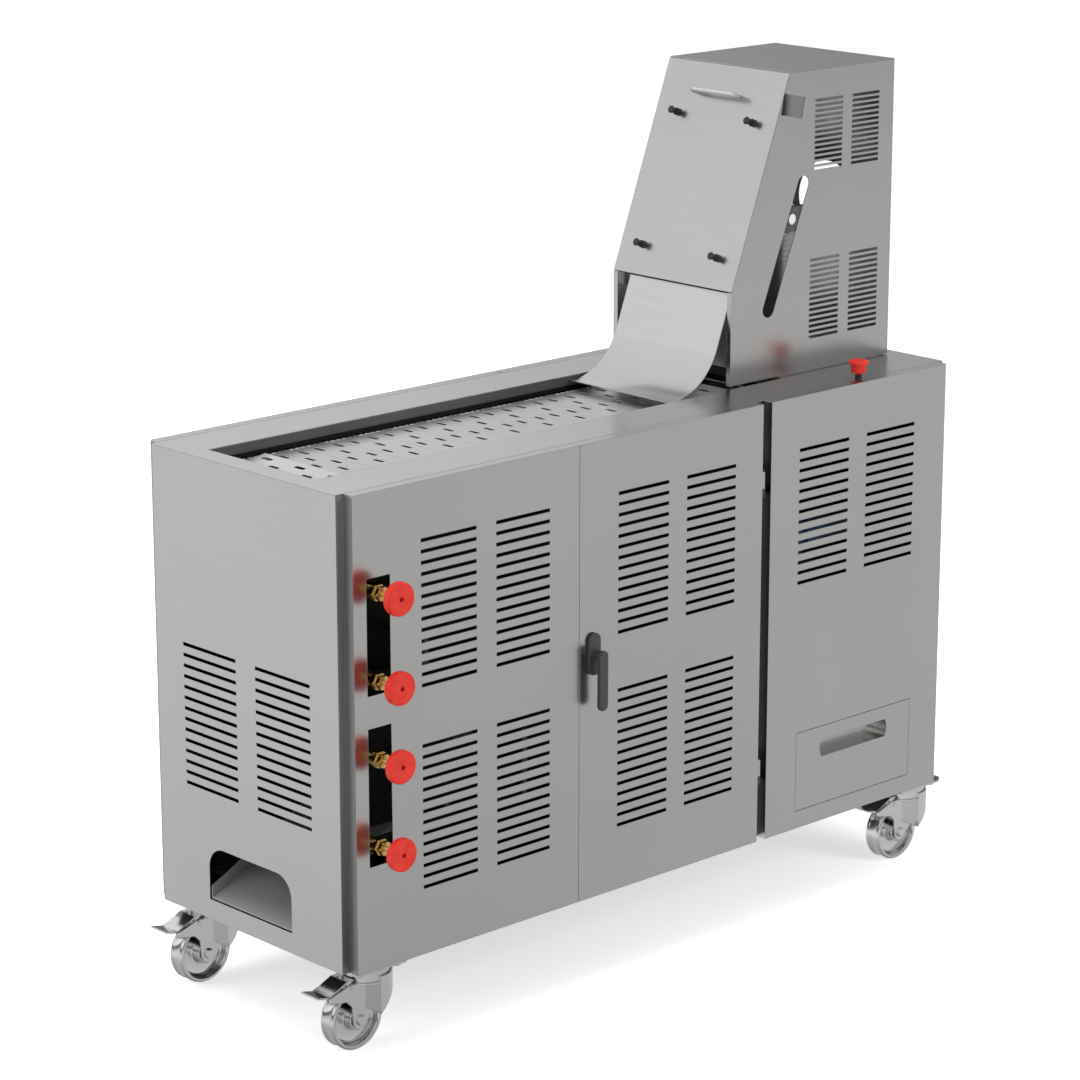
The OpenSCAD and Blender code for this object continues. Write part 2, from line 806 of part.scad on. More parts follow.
// Gearbox block on a shaft with its motor lying along X
box_half = 32;
box_end = 38;
collar_end = 54;
motor_end = 200;
module gear_motor(x, y, z, w, bore) {
    mid = y + w / 2;
    difference() {
        union() {
            span([x - box_half, y, z - box_half], [x + box_end, y + w, z + box_half]);
            rod([x + box_end - eps, mid, z], [x + collar_end, mid, z], w / 2 - 6);
            rod([x + collar_end - eps, mid, z], [x + motor_end, mid, z], w / 2);
        }
        rod([x, y - 1, z], [x, y + w + 1, z], bore + running);
    }
}

module gear_motors() {
    color("steelblue") placed() {
        for (t = [0, 1]) gear_motor(drive_x, motor_y + motor_gap, shaft_z(t), drive_motor_w, shaft_d / 2);
        gear_motor(roller_x[1], feed_motor_y, roller_abs_z, feed_motor_w, journal_r);
    }
}

/* ---------- gas ---------- */

gas_x = valve_x;
gas_z = 44;
gas_r = 8;
manifold_y = 62;
shoulder_r = spigot_d / 2 + 3;
shoulder_l = 4;
spigot_hole_r = shoulder_r + 1;
feed_r = 6;
burner_r = 11;
burner_off = 45;
burner_z = [shaft_z(0), shaft_z(1), (shaft_z(1) + shaft_z(2)) / 2 + 4, shaft_z(2)];
function feed_x(k) = k == 3 ? left_x(2) + 70 : 172 + 16 * k;
valve_y = 8;
valve_l = 30;
valve_r = 12;

// Pipe of radius r through a list of points that turn along the axes
module pipe(points, r) {
    for (i = [0:len(points) - 2]) rod(points[i], points[i + 1], r);
    for (i = [1:len(points) - 2]) translate(points[i]) sphere(r = r, $fn = 32);
}

// Four burners, each two long tubes on a cross header, and their feed pipes
module burner_tubes() {
    color("rosybrown") placed() for (k = [0:3]) {
        x = feed_x(k);
        y = valve_y + 22;
        pipe([[valve_x + valve_r + weld, y, valve_z[k]], [x, y, valve_z[k]],
            [x, y, burner_z[k]], [x, center_y + burner_off + 7, burner_z[k]]], feed_r);
        for (side = [-1, 1])
            rod([x - burner_r, center_y + side * burner_off, burner_z[k]],
                [drive_x - 75, center_y + side * burner_off, burner_z[k]], burner_r);
    }
}

module gas_manifold() {
    color("goldenrod") placed() {
        back = body_d - cover_depth - 3;
        pipe([[gas_x, manifold_y, valve_z[0] + 20], [gas_x, manifold_y, gas_z],
            [gas_x, back + 1, gas_z]], gas_r);
        for (z = valve_z) rod([gas_x, manifold_y, z], [gas_x, valve_y + valve_l + weld, z], feed_r);
        rod([gas_x, back, gas_z], [gas_x, body_d + shoulder_l, gas_z], shoulder_r);
        rod([gas_x, body_d + shoulder_l - eps, gas_z], [gas_x, body_d + spigot_l, gas_z], spigot_d / 2);
    }
}

module valve_bodies() {
    color("goldenrod") placed() for (z = valve_z) difference() {
        union() {
            rod([valve_x, valve_y, z], [valve_x, valve_y + valve_l, z], valve_r);
            translate([valve_x, valve_y + 8, z]) rotate([90, 0, 0]) cylinder(r = 15, h = 10, $fn = 6);
            translate([valve_x, valve_y - 2 + eps, z]) rotate([90, 0, 0]) cylinder(r = 12.5, h = 10, $fn = 6);
        }
        rod([valve_x, valve_y - 13, z], [valve_x, valve_y + 16, z], spindle_d / 2 + running);
    }
}

// Handwheel with its brass spindle
module valve_knob(k) {
    z = valve_z[k - 1];
    rim = 3;
    hole_r = spindle_d / 2 - 1;
    color("red") placed() {
        translate([valve_x, -wheel_out, z]) rotate([-90, 0, 0]) rotate_extrude() difference() {
            union() {
                translate([hole_r, rim]) square([wheel_d / 2 - hole_r, wheel_t - 2 * rim]);
                translate([hole_r, 0]) square([wheel_d / 2 - rim - hole_r, wheel_t]);
                for (y = [rim, wheel_t - rim]) translate([wheel_d / 2 - rim, y]) circle(r = rim, $fn = 32);
            }
            translate([0, 4]) square([spindle_d / 2 + eps, wheel_t]);
        }
        rod([valve_x, -wheel_out + 4.2, z], [valve_x, valve_y + 14, z], spindle_d / 2);
    }
}

/* ---------- outlet ---------- */

// A strip of height h along the tray, from y0 to y1
tray_t = 2;
tray_foot = [sheet + weld, outlet_z + 2];
tray_head = tray_foot + [tray_l, tray_rise];
module tray_strip(y0, y1, h) {
    upright(y0, y1 - y0)
        polygon([tray_foot, tray_head, tray_head + [0, h], tray_foot + [0, h]]);
}

// Sloping tray with side walls from the lowest conveyor to the outlet, hung
// from a bar between the oven's side plates
module outlet_tray() {
    wall_h = 22;
    half = outlet_w / 2 - 3;
    bar_back = 24;
    bar = tray_head - bar_back * [1, tray_rise / tray_l];
    color("lightgray") placed() {
        span([bar.x, center_y - oven_y + weld, bar.y - 8],
            [bar.x + 12, center_y + oven_y - weld, bar.y + tray_t]);
        tray_strip(center_y - half, center_y + half, tray_t);
        tray_strip(center_y - half, center_y - half + sheet, wall_h);
        tray_strip(center_y + half - sheet, center_y + half, wall_h);
    }
}

/* ---------- tower ---------- */

tower_foot = body_h + foot_gap;
tower_top = body_h + tower_h;
mouth_top = body_h + mouth_h;
slope_rise = tower_h - mouth_h;
slope_l = sqrt(slope_run * slope_run + slope_rise * slope_rise);
slope_a = atan2(slope_rise, slope_run);
roller_abs_z = body_h + roller_z;
chute_behind = 16;
cover_t = 1.5;
journal_r = 10;
roller_block = [62, 44];

// Point on the sloping front: s up the slope, n outward
function on_slope(s, n) = [
    tower_x + s * cos(slope_a) - n * sin(slope_a),
    mouth_top + s * sin(slope_a) + n * cos(slope_a)];

behind_cover = on_slope((roller_abs_z - mouth_top) / sin(slope_a), 0).x + chute_behind + 4;
roller_x = [behind_cover + roller_d / 2, behind_cover + 3 * roller_d / 2 + roller_gap];

// Frame of the sloping front: X up the slope, Y across, Z outward
module sloped(s, y, n) {
    p = on_slope(s, n);
    translate([p.x, y, p.y]) rotate([0, -slope_a, 0]) children();
}

// Louvres, slot and window of the side panels, from the mouth and the deck
tower_columns = [[240, 335.5], [236.5, 338.5]];
tower_rows = [481, 199.3];
tower_counts = [14, 15];
tower_pitches = [9.2, 9.85];
tower_slot_w = [71, 76];
side_slot = [[93.5, 126], [177.5, 338]];
side_slot_r = 14.2;
side_window = [147.5, 477];

module tower_side_2d() {
    inset = cover_t + weld;
    a = on_slope(0, -inset);
    b = on_slope(slope_l, -inset);
    difference() {
        polygon([[tower_x, tower_foot], [tower_x, mouth_top - 2 * inset], a,
            [b.x, tower_top - sheet - weld], [tower_x + tower_l - sheet - weld, tower_top - sheet - weld],
            [tower_x + tower_l - sheet - weld, tower_foot]]);
        translate([tower_x, body_h]) {
            for (g = [0, 1], x = tower_columns[g])
                louvres_2d(x, tower_rows[g], tower_slot_w[g], tower_counts[g], tower_pitches[g], 5);
            hull() for (p = side_slot) translate(p) circle(r = side_slot_r, $fn = 48);
            translate(side_window) rotate(-12) square([54, 37], center = true);
        }
    }
}

// Side sheets, each with a front jamb and a foot flange that rests on the deck
jamb_w = 8.5;
foot_w = 14;
module tower_side_panels() {
    color("silver") placed() for (side = [0, 1]) {
        y = side == 0 ? tower_y : tower_y + tower_d - sheet;
        jamb_y = side == 0 ? y + sheet - eps : y - jamb_w;
        foot_y = side == 0 ? y + sheet - eps : y - foot_w;
        upright(y, sheet) tower_side_2d();
        span([tower_x, jamb_y, tower_foot],
            [tower_x + sheet, jamb_y + jamb_w + eps, mouth_top - cover_t]);
        span([max(tower_x + sheet, trough_x + trough_l + 6), foot_y, tower_foot - foot_gap + weld],
            [tower_x + tower_l - 20, foot_y + foot_w + eps, tower_foot + sheet]);
    }
}

// Top sheet folded down into the end sheet, with the opening for dough
dough_y = tower_y + tower_d / 2 + 8.2;
module tower_top_sheet() {
    color("gray") placed() {
        top = on_slope(slope_l, 0);
        span([top.x, tower_y, tower_top - sheet], [tower_x + tower_l, tower_y + tower_d, tower_top]);
        difference() {
            span([tower_x + tower_l - sheet, tower_y, tower_foot],
                [tower_x + tower_l, tower_y + tower_d, tower_top - sheet + eps]);
            translate([tower_x + tower_l - 2 * sheet, dough_y, body_h + dough_up]) rotate([0, 90, 0])
                cylinder(d = dough_d, h = 3 * sheet, $fn = 128);
        }
    }
}

// Two angle bars across the tower that take the cover's knobs
bar_n = -4;
module tower_cross_bars() {
    inner = sheet + weld;
    color("dimgray") placed() for (s = [knob_low, knob_high]) difference() {
        sloped(s, tower_y + inner, bar_n) {
            translate([-16, 0, -3]) cube([32, tower_d - 2 * inner, 3]);
            translate([13, 0, -14]) cube([3, tower_d - 2 * inner, 14]);
        }
        for (side = [-1, 1])
            sloped(s, tower_y + tower_d / 2 + side * knob_span / 2, bar_n - 4)
                cylinder(r = stud_r + running, h = 6);
    }
}

// Curved sheet from under the rollers down to the top conveyor: an arc at the
// lip, a straight run along the cover and a flatter run under the rollers
guide_a = 36;
chute_foot = [chute_x + chute_r * sin(slope_a), body_h - chute_drop + chute_r * (1 - cos(slope_a))];
chute_rise = mouth_top - 6 - chute_foot.y;
chute_knee = chute_foot + chute_rise * [1 / tan(slope_a), 1];
guide_x = roller_x[0] + roller_d / 2 - 2;
chute_top = [guide_x, chute_knee.y + (guide_x - chute_knee.x) * tan(guide_a)];
slope_skin = sheet * [-sin(slope_a), cos(slope_a)];
guide_skin = sheet * [-sin(guide_a), cos(guide_a)];

module chute_arc_2d() {
    reach = 2 * chute_r;
    translate([chute_x, body_h - chute_drop + chute_r]) intersection() {
        difference() {
            circle(r = chute_r, $fn = 128);
            circle(r = chute_r - sheet, $fn = 128);
        }
        polygon([[0, 0], [0, -reach], [reach * sin(slope_a), -reach],
            reach * [sin(slope_a), -cos(slope_a)]]);
    }
}

module chute() {
    color("gainsboro") placed() {
        span([chute_knee.x + 4, tower_y + sheet + weld, chute_knee.y - 22],
            [chute_knee.x + 7, tower_y + tower_d - sheet - weld, chute_knee.y]);
        span([chute_knee.x - 1, chute_y + 4, chute_knee.y - 6],
            [chute_knee.x + 5, chute_y + chute_w - 4, chute_knee.y - 1]);
        upright(chute_y, chute_w) {
            chute_arc_2d();
            polygon([chute_foot - eps * [cos(slope_a), sin(slope_a)], chute_knee, chute_top,
                chute_top + guide_skin, chute_knee + slope_skin, chute_foot + slope_skin]);
        }
    }
}

stud_r = 4;
collar_t = 3;
module tower_cover() {
    color("gainsboro") placed() difference() {
        sloped(0, tower_y, -cover_t) cube([slope_l - 2, tower_d, cover_t]);
        for (s = [knob_low, knob_high], side = [-1, 1])
            sloped(s, tower_y + tower_d / 2 + side * knob_span / 2, -cover_t - 1)
                cylinder(r = stud_r + running, h = cover_t + 2);
    }
}

module cover_handle() {
    bar_r = 5;
    bend_r = 18;
    half = bow_l / 2 - bar_r;
    color("silver") placed() sloped(bow_s, tower_y + tower_d / 2, weld) {
        for (side = [-1, 1]) {
            translate([0, side * half, 0]) cylinder(r = bar_r, h = bow_out - bar_r - bend_r + eps);
            translate([0, side * (half - bend_r), bow_out - bar_r - bend_r])
                rotate([0, -90, 0]) rotate([0, 0, side > 0 ? 0 : -90]) rotate_extrude(angle = 90)
                    translate([bend_r, 0]) circle(r = bar_r, $fn = 32);
        }
        translate([0, -half + bend_r - eps, bow_out - bar_r]) rotate([-90, 0, 0])
            cylinder(r = bar_r, h = 2 * (half - bend_r) + 2 * eps);
    }
}

// Waisted thumb knob with collar and stud
knob_at = [[knob_low, -1], [knob_low, 1], [knob_high, -1], [knob_high, 1]];
module cover_knob(k) {
    place = knob_at[k - 1];
    waist = 2.5;
    color("dimgray") placed()
        sloped(place[0], tower_y + tower_d / 2 + place[1] * knob_span / 2, 0) {
            translate([0, 0, -9]) cylinder(r = stud_r, h = 9 + collar_t);
            translate([0, 0, weld]) cylinder(r = knob_d / 2 - 1, h = collar_t);
            translate([0, 0, collar_t]) rotate_extrude() difference() {
                square([knob_d / 2, knob_l - collar_t]);
                translate([knob_d / 2 + 12 - waist, (knob_l - collar_t) / 2]) circle(r = 12);
            }
        }
}

// Sheeting roller with journals and its timing gear
gear_teeth = 21;
gear_w = 10;
gear_y = feed_motor_y - motor_gap - gear_w;
module gear_2d(r, phase) {
    tooth = 360 / gear_teeth;
    module_size = 2 * r / gear_teeth;
    difference() {
        union() {
            circle(r = r - module_size);
            for (i = [0:gear_teeth - 1]) rotate(i * tooth + phase)
                polygon([[r - 1.2 * module_size, -0.34 * PI * module_size],
                    [r + 0.8 * module_size, -0.12 * PI * module_size],
                    [r + 0.8 * module_size, 0.12 * PI * module_size],
                    [r - 1.2 * module_size, 0.34 * PI * module_size]]);
        }
        circle(r = journal_r + eps);
    }
}

module sheeting_roller(i) {
    x = roller_x[i];
    y0 = tower_y + sheet + 2;
    y1 = tower_y + tower_d - sheet - 2;
    gear_r = (roller_d + roller_gap) / 2;
    rod([x, y0, roller_abs_z], [x, y1, roller_abs_z], journal_r);
    difference() {
        rod([x, tower_y + 20, roller_abs_z], [x, gear_y - 2, roller_abs_z], roller_d / 2);
        rod([x, tower_y, roller_abs_z], [x, gear_y, roller_abs_z], journal_r + eps);
    }
    translate([x, 0, roller_abs_z]) upright(gear_y, gear_w)
        gear_2d(gear_r, i * (180 / gear_teeth + 180));
}

module sheeting_roller_front() {
    color("whitesmoke") placed() sheeting_roller(0);
}

module sheeting_roller_rear() {
    color("whitesmoke") placed() sheeting_roller(1);
}

/* ---------- emergency stop ---------- */

collar_r = 6;
stop_hole_r = 6.5;
stop_stem_r = 3.5;
stop_body_r = 13.5;
collar_h = 5.5;
stop_low = collar_h + stop_travel + 0.5;
stop_rim = 25;
stop_edge = 5;
stop_dome = 3.5;
stop_dome_r = (stop_d * stop_d / 4 + stop_dome * stop_dome) / (2 * stop_dome);

module e_stop_collar() {
    color("black") placed() translate([stop_x, stop_y, body_h]) difference() {
        union() {
            translate([0, 0, -22]) cylinder(r = collar_r, h = 22 + collar_h);
            translate([0, 0, -10]) cylinder(r = stop_hole_r + 3, h = 7);
        }
        translate([0, 0, -23]) cylinder(r = stop_stem_r + running, h = 40);
    }
}

module e_stop_button() {
    color("red") placed() translate([stop_x, stop_y, body_h]) {
        translate([0, 0, -14]) cylinder(r = stop_stem_r, h = stop_rim);
        translate([0, 0, stop_low]) cylinder(r = stop_body_r, h = stop_rim - stop_low + eps);
        translate([0, 0, stop_rim]) cylinder(r = stop_d / 2, h = stop_edge);
        translate([0, 0, stop_rim + stop_edge - eps]) rotate_extrude() intersection() {
            translate([0, stop_dome - stop_dome_r]) circle(r = stop_dome_r, $fn = 128);
            square([stop_d / 2, stop_dome]);
        }
    }
}

/* ---------- castors ---------- */

plate_low = castor_h - pad_t - 4;
axle_z = castor_d / 2;
leg_t = 3;
leg_out = castor_w / 2 + 5 + leg_t;
head_r = 40;
head_high = plate_low - fit;
head_low = castor_d + 8;
nose_r = 44;
stem_r = 6;

module at_castor(k) {
    c = castor_at[k - 1];
    translate([c.x - mid_x, c.y - mid_y, 0]) children();
}

module castor_plates() {
    color("silver") for (k = [1:4]) at_castor(k) {
        difference() {
            span([-plate_x / 2, -plate_y / 2, plate_low],
                [plate_x / 2, plate_y / 2, castor_h - pad_t - weld]);
            translate([0, 0, -weld]) castor_holes([0, 0], plate_low, 4);
        }
        translate([0, 0, head_low - 2]) cylinder(r = stem_r, h = plate_low - head_low + 2 + eps);
        for (i = [-1, 1], j = [-1, 1]) translate([i * bolt_x / 2, j * bolt_y / 2, 0]) {
            translate([0, 0, plate_low - 5]) cylinder(r = 7.5, h = 5 - weld, $fn = 6);
            translate([0, 0, plate_low - 1]) cylinder(r = bolt_r - running, h = castor_h - plate_low - 1);
        }
    }
}

// Side leg of the fork: outline in X and height, wheel side cut away
module fork_leg_2d() {
    difference() {
        union() {
            polygon([[-trail + 10, axle_z - 6], [-trail + 10, head_low + 3], [-57, head_low + 3],
                [-94, castor_d - 1], [-94, castor_d - 8], [-78, castor_d - 12], [-60, castor_d - 15],
                [-48, castor_d - 27], [-46, axle_z]]);
            translate([-trail, axle_z]) circle(r = 15);
        }
        translate([-trail, axle_z]) circle(r = axle_r + running);
        translate(pedal_pin) circle(r = pin_r + running);
    }
}
axle_r = 5;
pin_r = 3;
pedal_pin = [-50, castor_d + 5.5];

// Pressed skin round the swivel head: straight beside the wheel, then out to
// a wide round nose; its lower edge rises towards the nose
skirt_x = -4;
skirt_high = head_low + 12;
skirt_low = 46;
skirt_slope = 0.96;
module fork_skirt() {
    edge_x = -trail + 10;
    flank_y = sqrt(nose_r * nose_r - skirt_x * skirt_x);
    h = skirt_high - skirt_low;
    difference() {
        translate([0, 0, skirt_low]) {
            difference() {
                cylinder(r = nose_r, h = h);
                translate([0, 0, -1]) cylinder(r = nose_r - leg_t, h = h + 2);
                span([-nose_r, -nose_r, -1], [skirt_x, nose_r, h + 1]);
            }
            for (side = [0, 1]) mirror([0, side, 0]) {
                span([edge_x - eps, leg_out - leg_t, 0], [skirt_x + leg_t, leg_out, h]);
                span([skirt_x, leg_out - leg_t, 0], [skirt_x + leg_t, flank_y - 1, h]);
            }
        }
        upright(-nose_r - 1, 2 * nose_r + 2)
            polygon([[edge_x - 1, skirt_low - 1], [edge_x, skirt_low],
                [nose_r + 1, skirt_low + skirt_slope * (nose_r + 1 - edge_x)],
                [nose_r + 1, skirt_low - 1]]);
    }
}

// Fork: swivel head, two legs, the skirt, and the axle bolt with its nuts
module castor_fork(k) {
    nut_t = 5;
    nut_r = 9;
    head_back = -30;
    color("silver") at_castor(k) {
        difference() {
            union() {
                translate([0, 0, head_low]) cylinder(r = head_r, h = head_high - head_low);
                for (side = [-1, 1])
                    upright(side < 0 ? -leg_out : leg_out - leg_t, leg_t) fork_leg_2d();
                fork_skirt();
                span([head_back, -leg_out, head_low - eps], [skirt_x, leg_out, head_low + leg_t]);
                translate([0, 0, head_low - eps]) cylinder(r = nose_r - 1, h = leg_t);
            }
            translate([0, 0, head_low - 1]) cylinder(r = stem_r + running, h = head_high - head_low + 2);
        }
        rod([-trail, -leg_out - nut_t + 1, axle_z], [-trail, leg_out + nut_t - 1, axle_z], axle_r);
        for (side = [-1, 1])
            translate([-trail, side * (leg_out + weld + nut_t / 2), axle_z]) rotate([90, 0, 0])
                cylinder(r = nut_r, h = nut_t, center = true, $fn = 6);
    }
}

// Wide wheel with a rim, a dished web and a hub
module castor_wheel(k) {
    rim_t = 6;
    hub_r = 19;
    web_t = 5;
    hub_out = 3;
    bore = axle_r + running;
    half = castor_w / 2;
    color("lightgray") at_castor(k) translate([-trail, 0, axle_z]) rotate([90, 0, 0]) rotate_extrude() {
        difference() {
            translate([bore, -half]) square([castor_d / 2 - bore, castor_w]);
            for (side = [0, 1]) mirror([0, side]) translate([hub_r, web_t / 2])
                square([castor_d / 2 - rim_t - hub_r, half]);
        }
        translate([bore, -half - hub_out]) square([hub_r - bore, castor_w + 2 * hub_out]);
    }
}

pedal_w = 2 * (leg_out - leg_t) - 2;
pedal_t = 3;
// Brake pedal: bent sheet over the wheel, its web and its cross pin
module brake_pedal(k) {
    low = castor_d + 5;
    heel = -42.5;
    color("silver") at_castor(k) {
        upright(-pedal_w / 2, pedal_w) {
            polygon([[heel, low + 10], [-56, low + 10], [-93, low - 8],
                [-pedal_reach, low - 1], [-pedal_reach, low + 2], [-93, low - 8 + pedal_t + 1],
                [-56, low + 10 + pedal_t], [heel, low + 10 + pedal_t]]);
            translate([pedal_pin.x - pedal_t, pedal_pin.y]) square([2 * pedal_t, low + 11 - pedal_pin.y]);
            translate(pedal_pin) circle(r = pin_r + 2.5);
        }
        rod([pedal_pin.x, -leg_out - 1, pedal_pin.y], [pedal_pin.x, leg_out + 1, pedal_pin.y], pin_r);
    }
}

/* ---------- nodes ---------- */

base_frame();
bottom_pan();
top_deck();
left_end_panel();
right_end_panel();
front_panel();
service_door();
door_hinges();
tool_box_panel();
back_covers();
handle_backplate();
handle_lever();
drawer();
drawer_runners();
oven_side_plates();
conveyor_slats();
roller_chains();
drive_shaft(1);  // drive_shaft_1
drive_shaft(2);  // drive_shaft_2
drive_shaft(3);  // drive_shaft_3
idler_shaft(1);  // idler_shaft_1
idler_shaft(2);  // idler_shaft_2
idler_shaft(3);  // idler_shaft_3
flange_bearings();
gear_motors();
burner_tubes();
gas_manifold();
valve_bodies();
valve_knob(1);  // valve_knob_1
valve_knob(2);  // valve_knob_2
valve_knob(3);  // valve_knob_3
valve_knob(4);  // valve_knob_4
outlet_tray();
tower_side_panels();
tower_top_sheet();
tower_cross_bars();
chute();
tower_cover();
cover_handle();
cover_knob(1);  // cover_knob_1
cover_knob(2);  // cover_knob_2
cover_knob(3);  // cover_knob_3
cover_knob(4);  // cover_knob_4
sheeting_roller_front();
sheeting_roller_rear();
e_stop_button();
e_stop_collar();
castor_plates();
castor_fork(1);  // castor_fork_1
castor_fork(2);  // castor_fork_2
castor_fork(3);  // castor_fork_3
castor_fork(4);  // castor_fork_4
castor_wheel(1);  // castor_wheel_1
castor_wheel(2);  // castor_wheel_2
castor_wheel(3);  // castor_wheel_3
castor_wheel(4);  // castor_wheel_4
brake_pedal(1);  // brake_pedal_1
brake_pedal(2);  // brake_pedal_2
brake_pedal(3);  // brake_pedal_3
brake_pedal(4);  // brake_pedal_4
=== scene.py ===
# %% [markdown]
# # A conveyor cooker for flatbreads
# The machine is a long cabinet of folded stainless sheet with a slatted
# conveyor in its deck, a tower at one end, four red handwheels and four
# castors. Its solid parts come packed from CAD as a fixed frame. This
# notebook gives them their finishes and adds the finer pieces.

# %% The frame
import math
import bmesh
import bpy
import numpy as np
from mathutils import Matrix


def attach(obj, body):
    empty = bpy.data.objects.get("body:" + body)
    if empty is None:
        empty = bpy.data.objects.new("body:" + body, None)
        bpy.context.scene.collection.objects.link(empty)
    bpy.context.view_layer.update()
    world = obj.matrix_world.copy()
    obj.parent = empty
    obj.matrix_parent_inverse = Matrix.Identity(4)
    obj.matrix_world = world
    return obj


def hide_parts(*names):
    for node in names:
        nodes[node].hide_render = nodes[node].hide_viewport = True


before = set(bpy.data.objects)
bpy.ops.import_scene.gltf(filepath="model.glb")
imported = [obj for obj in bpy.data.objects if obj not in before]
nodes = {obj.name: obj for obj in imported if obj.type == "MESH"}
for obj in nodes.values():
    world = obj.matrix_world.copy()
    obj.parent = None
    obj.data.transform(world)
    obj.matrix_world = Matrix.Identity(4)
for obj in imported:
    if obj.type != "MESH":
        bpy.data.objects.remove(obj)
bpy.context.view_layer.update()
print("packed nodes:", len(nodes))

# %% [markdown]
# ## Camera
# The camera stands where the photograph was taken from: about 6 m away, off
# the near corner and above the tower, with a long lens, so that the machine's
# long edges run together only slightly. Its place was fitted to those edges.

# %% Camera
view = bpy.data.cameras.new("camera")
view.lens = 120.317
view.sensor_width = 36.0
view.clip_end = 60.0
camera = bpy.data.objects.new("camera", view)
camera.location = (-4.13954, -4.35824, 2.32091)
camera.rotation_euler = (math.radians(74.85), 0.0, math.radians(-43.09))
bpy.context.scene.collection.objects.link(camera)
bpy.context.scene.camera = camera
print("camera at", tuple(round(v, 2) for v in camera.location))

# %% [markdown]
# ## Measures
# All lengths below are millimetres from the machine's own corner: the left
# end panel, the front covers' face and the cabinet's lower edge. One function
# turns them into the frame's metres. CORNER is the frame's origin, on the
# floor under the middle, as seen from that corner.

# %% Measures
CORNER = np.array([698.25, 240.0, -147.0])
BODY_L, BODY_D, BODY_H = 1421.0, 508.0, 790.0
CENTER_Y = BODY_D / 2


def to_frame(points):
    """Frame metres = (machine millimetres - CORNER) / 1000."""
    return (np.asarray(points, float) - CORNER) * 0.001


print("deck height in the frame:", to_frame([0, 0, BODY_H])[2])

# %% [markdown]
# ## Shapes from arrays
# Each new piece is a surface over a grid of two parameters. The grid's points
# are computed as whole arrays, and its faces are the same for every shape, so
# one function makes them. Several surfaces are joined into one mesh, points
# that coincide are merged and the normals are turned outwards.

# %% Grid faces and pieces
MERGE_DISTANCE = 2e-7  # metres


def grid_faces(nu, nv, wrap_u=False, wrap_v=False):
    """Quads of a grid with nu x nv points; point (i, j) has number i * nv + j."""
    i, j = np.meshgrid(np.arange(nu if wrap_u else nu - 1),
                       np.arange(nv if wrap_v else nv - 1), indexing="ij")
    i2, j2 = (i + 1) % nu, (j + 1) % nv
    corners = [i * nv + j, i2 * nv + j, i2 * nv + j2, i * nv + j2]
    return np.stack(corners, -1).reshape(-1, 4)


def piece(name, surfaces, finishes, body, replaces=(), sharp=38):
    """One object from surfaces (points, list of face arrays, finish number)."""
    points, faces, finish, start = [], [], [], 0
    for surface_points, face_sets, number in surfaces:
        points.append(to_frame(surface_points))
        for face_set in face_sets:
            rows = (np.asarray(face_set) + start).tolist()
            faces += rows
            finish += [number] * len(rows)
        start += len(surface_points)
    mesh = bpy.data.meshes.new(name)
    mesh.from_pydata(np.concatenate(points).tolist(), [], faces)
    for material in finishes:
        mesh.materials.append(material)
    mesh.polygons.foreach_set("material_index", finish)
    work = bmesh.new()
    work.from_mesh(mesh)
    bmesh.ops.remove_doubles(work, verts=work.verts, dist=MERGE_DISTANCE)
    bmesh.ops.recalc_face_normals(work, faces=work.faces)
    work.to_mesh(mesh)
    work.free()
    mesh.shade_smooth()
    mesh.set_sharp_from_angle(angle=math.radians(sharp))
    thing = bpy.data.objects.new(name, mesh)
    bpy.context.scene.collection.objects.link(thing)
    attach(thing, body)
    if replaces:
        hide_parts(*replaces)
    print(name, len(mesh.polygons), "faces")
    return thing


print("an open grid of 3 x 4 points has", len(grid_faces(3, 4)), "faces")

# %% [markdown]
# ## Turned and swept surfaces
# Turned parts, such as wheels and knobs, are a profile carried round an axis.
# Bars are a circle carried along a path. Blender's Screw modifier and curves
# could make both; arrays keep every radius and height in the script.

# %% Turned and swept surfaces
def axes_of(axis):
    """Two unit vectors square to the axis and to each other."""
    axis = np.asarray(axis, float) / np.linalg.norm(axis)
    helper = np.array([0.0, 0.0, 1.0]) if abs(axis[2]) < 0.9 else np.array([1.0, 0.0, 0.0])
    u = np.cross(helper, axis)
    u /= np.linalg.norm(u)
    return axis, u, np.cross(axis, u)


def turned(profile, base, axis, finish=0, sides=48):
    """P(t, a) = base + h(t) axis + r(t) (cos a u + sin a v), profile rows (r, h)."""
    profile = np.asarray(profile, float)
    axis, u, v = axes_of(axis)
    a = np.linspace(0, 2 * np.pi, sides, endpoint=False)
    ring = np.cos(a)[:, None] * u + np.sin(a)[:, None] * v
    points = (np.asarray(base, float) + profile[:, 1, None, None] * axis
              + profile[:, 0, None, None] * ring[None])
    return points.reshape(-1, 3), [grid_faces(len(profile), sides, wrap_v=True)], finish


def swept(path, radius, finish=0, sides=12):
    """P(s, a) = path(s) + radius (cos a u(s) + sin a v(s)); u, v are carried along."""
    path = np.asarray(path, float)
    steps = np.gradient(path, axis=0)
    steps /= np.linalg.norm(steps, axis=1)[:, None]
    _, u, _ = axes_of(steps[0])
    frames = []
    for t in steps:
        u = u - t * (u @ t)
        u /= np.linalg.norm(u)
        frames.append((u, np.cross(t, u)))
    frames = np.array(frames)
    a = np.linspace(0, 2 * np.pi, sides, endpoint=False)
    ring = (np.cos(a)[None, :, None] * frames[:, 0, None]
            + np.sin(a)[None, :, None] * frames[:, 1, None])
    points = (path[:, None] + radius * ring).reshape(-1, 3)
    caps = [np.arange(sides)[None, ::-1], np.arange(sides)[None] + (len(path) - 1) * sides]
    return points, [grid_faces(len(path), sides, wrap_v=True)] + caps, finish


print("a turned ring has", len(turned([[1, 0], [1, 1]], (0, 0, 0), (0, 0, 1))[0]), "points")

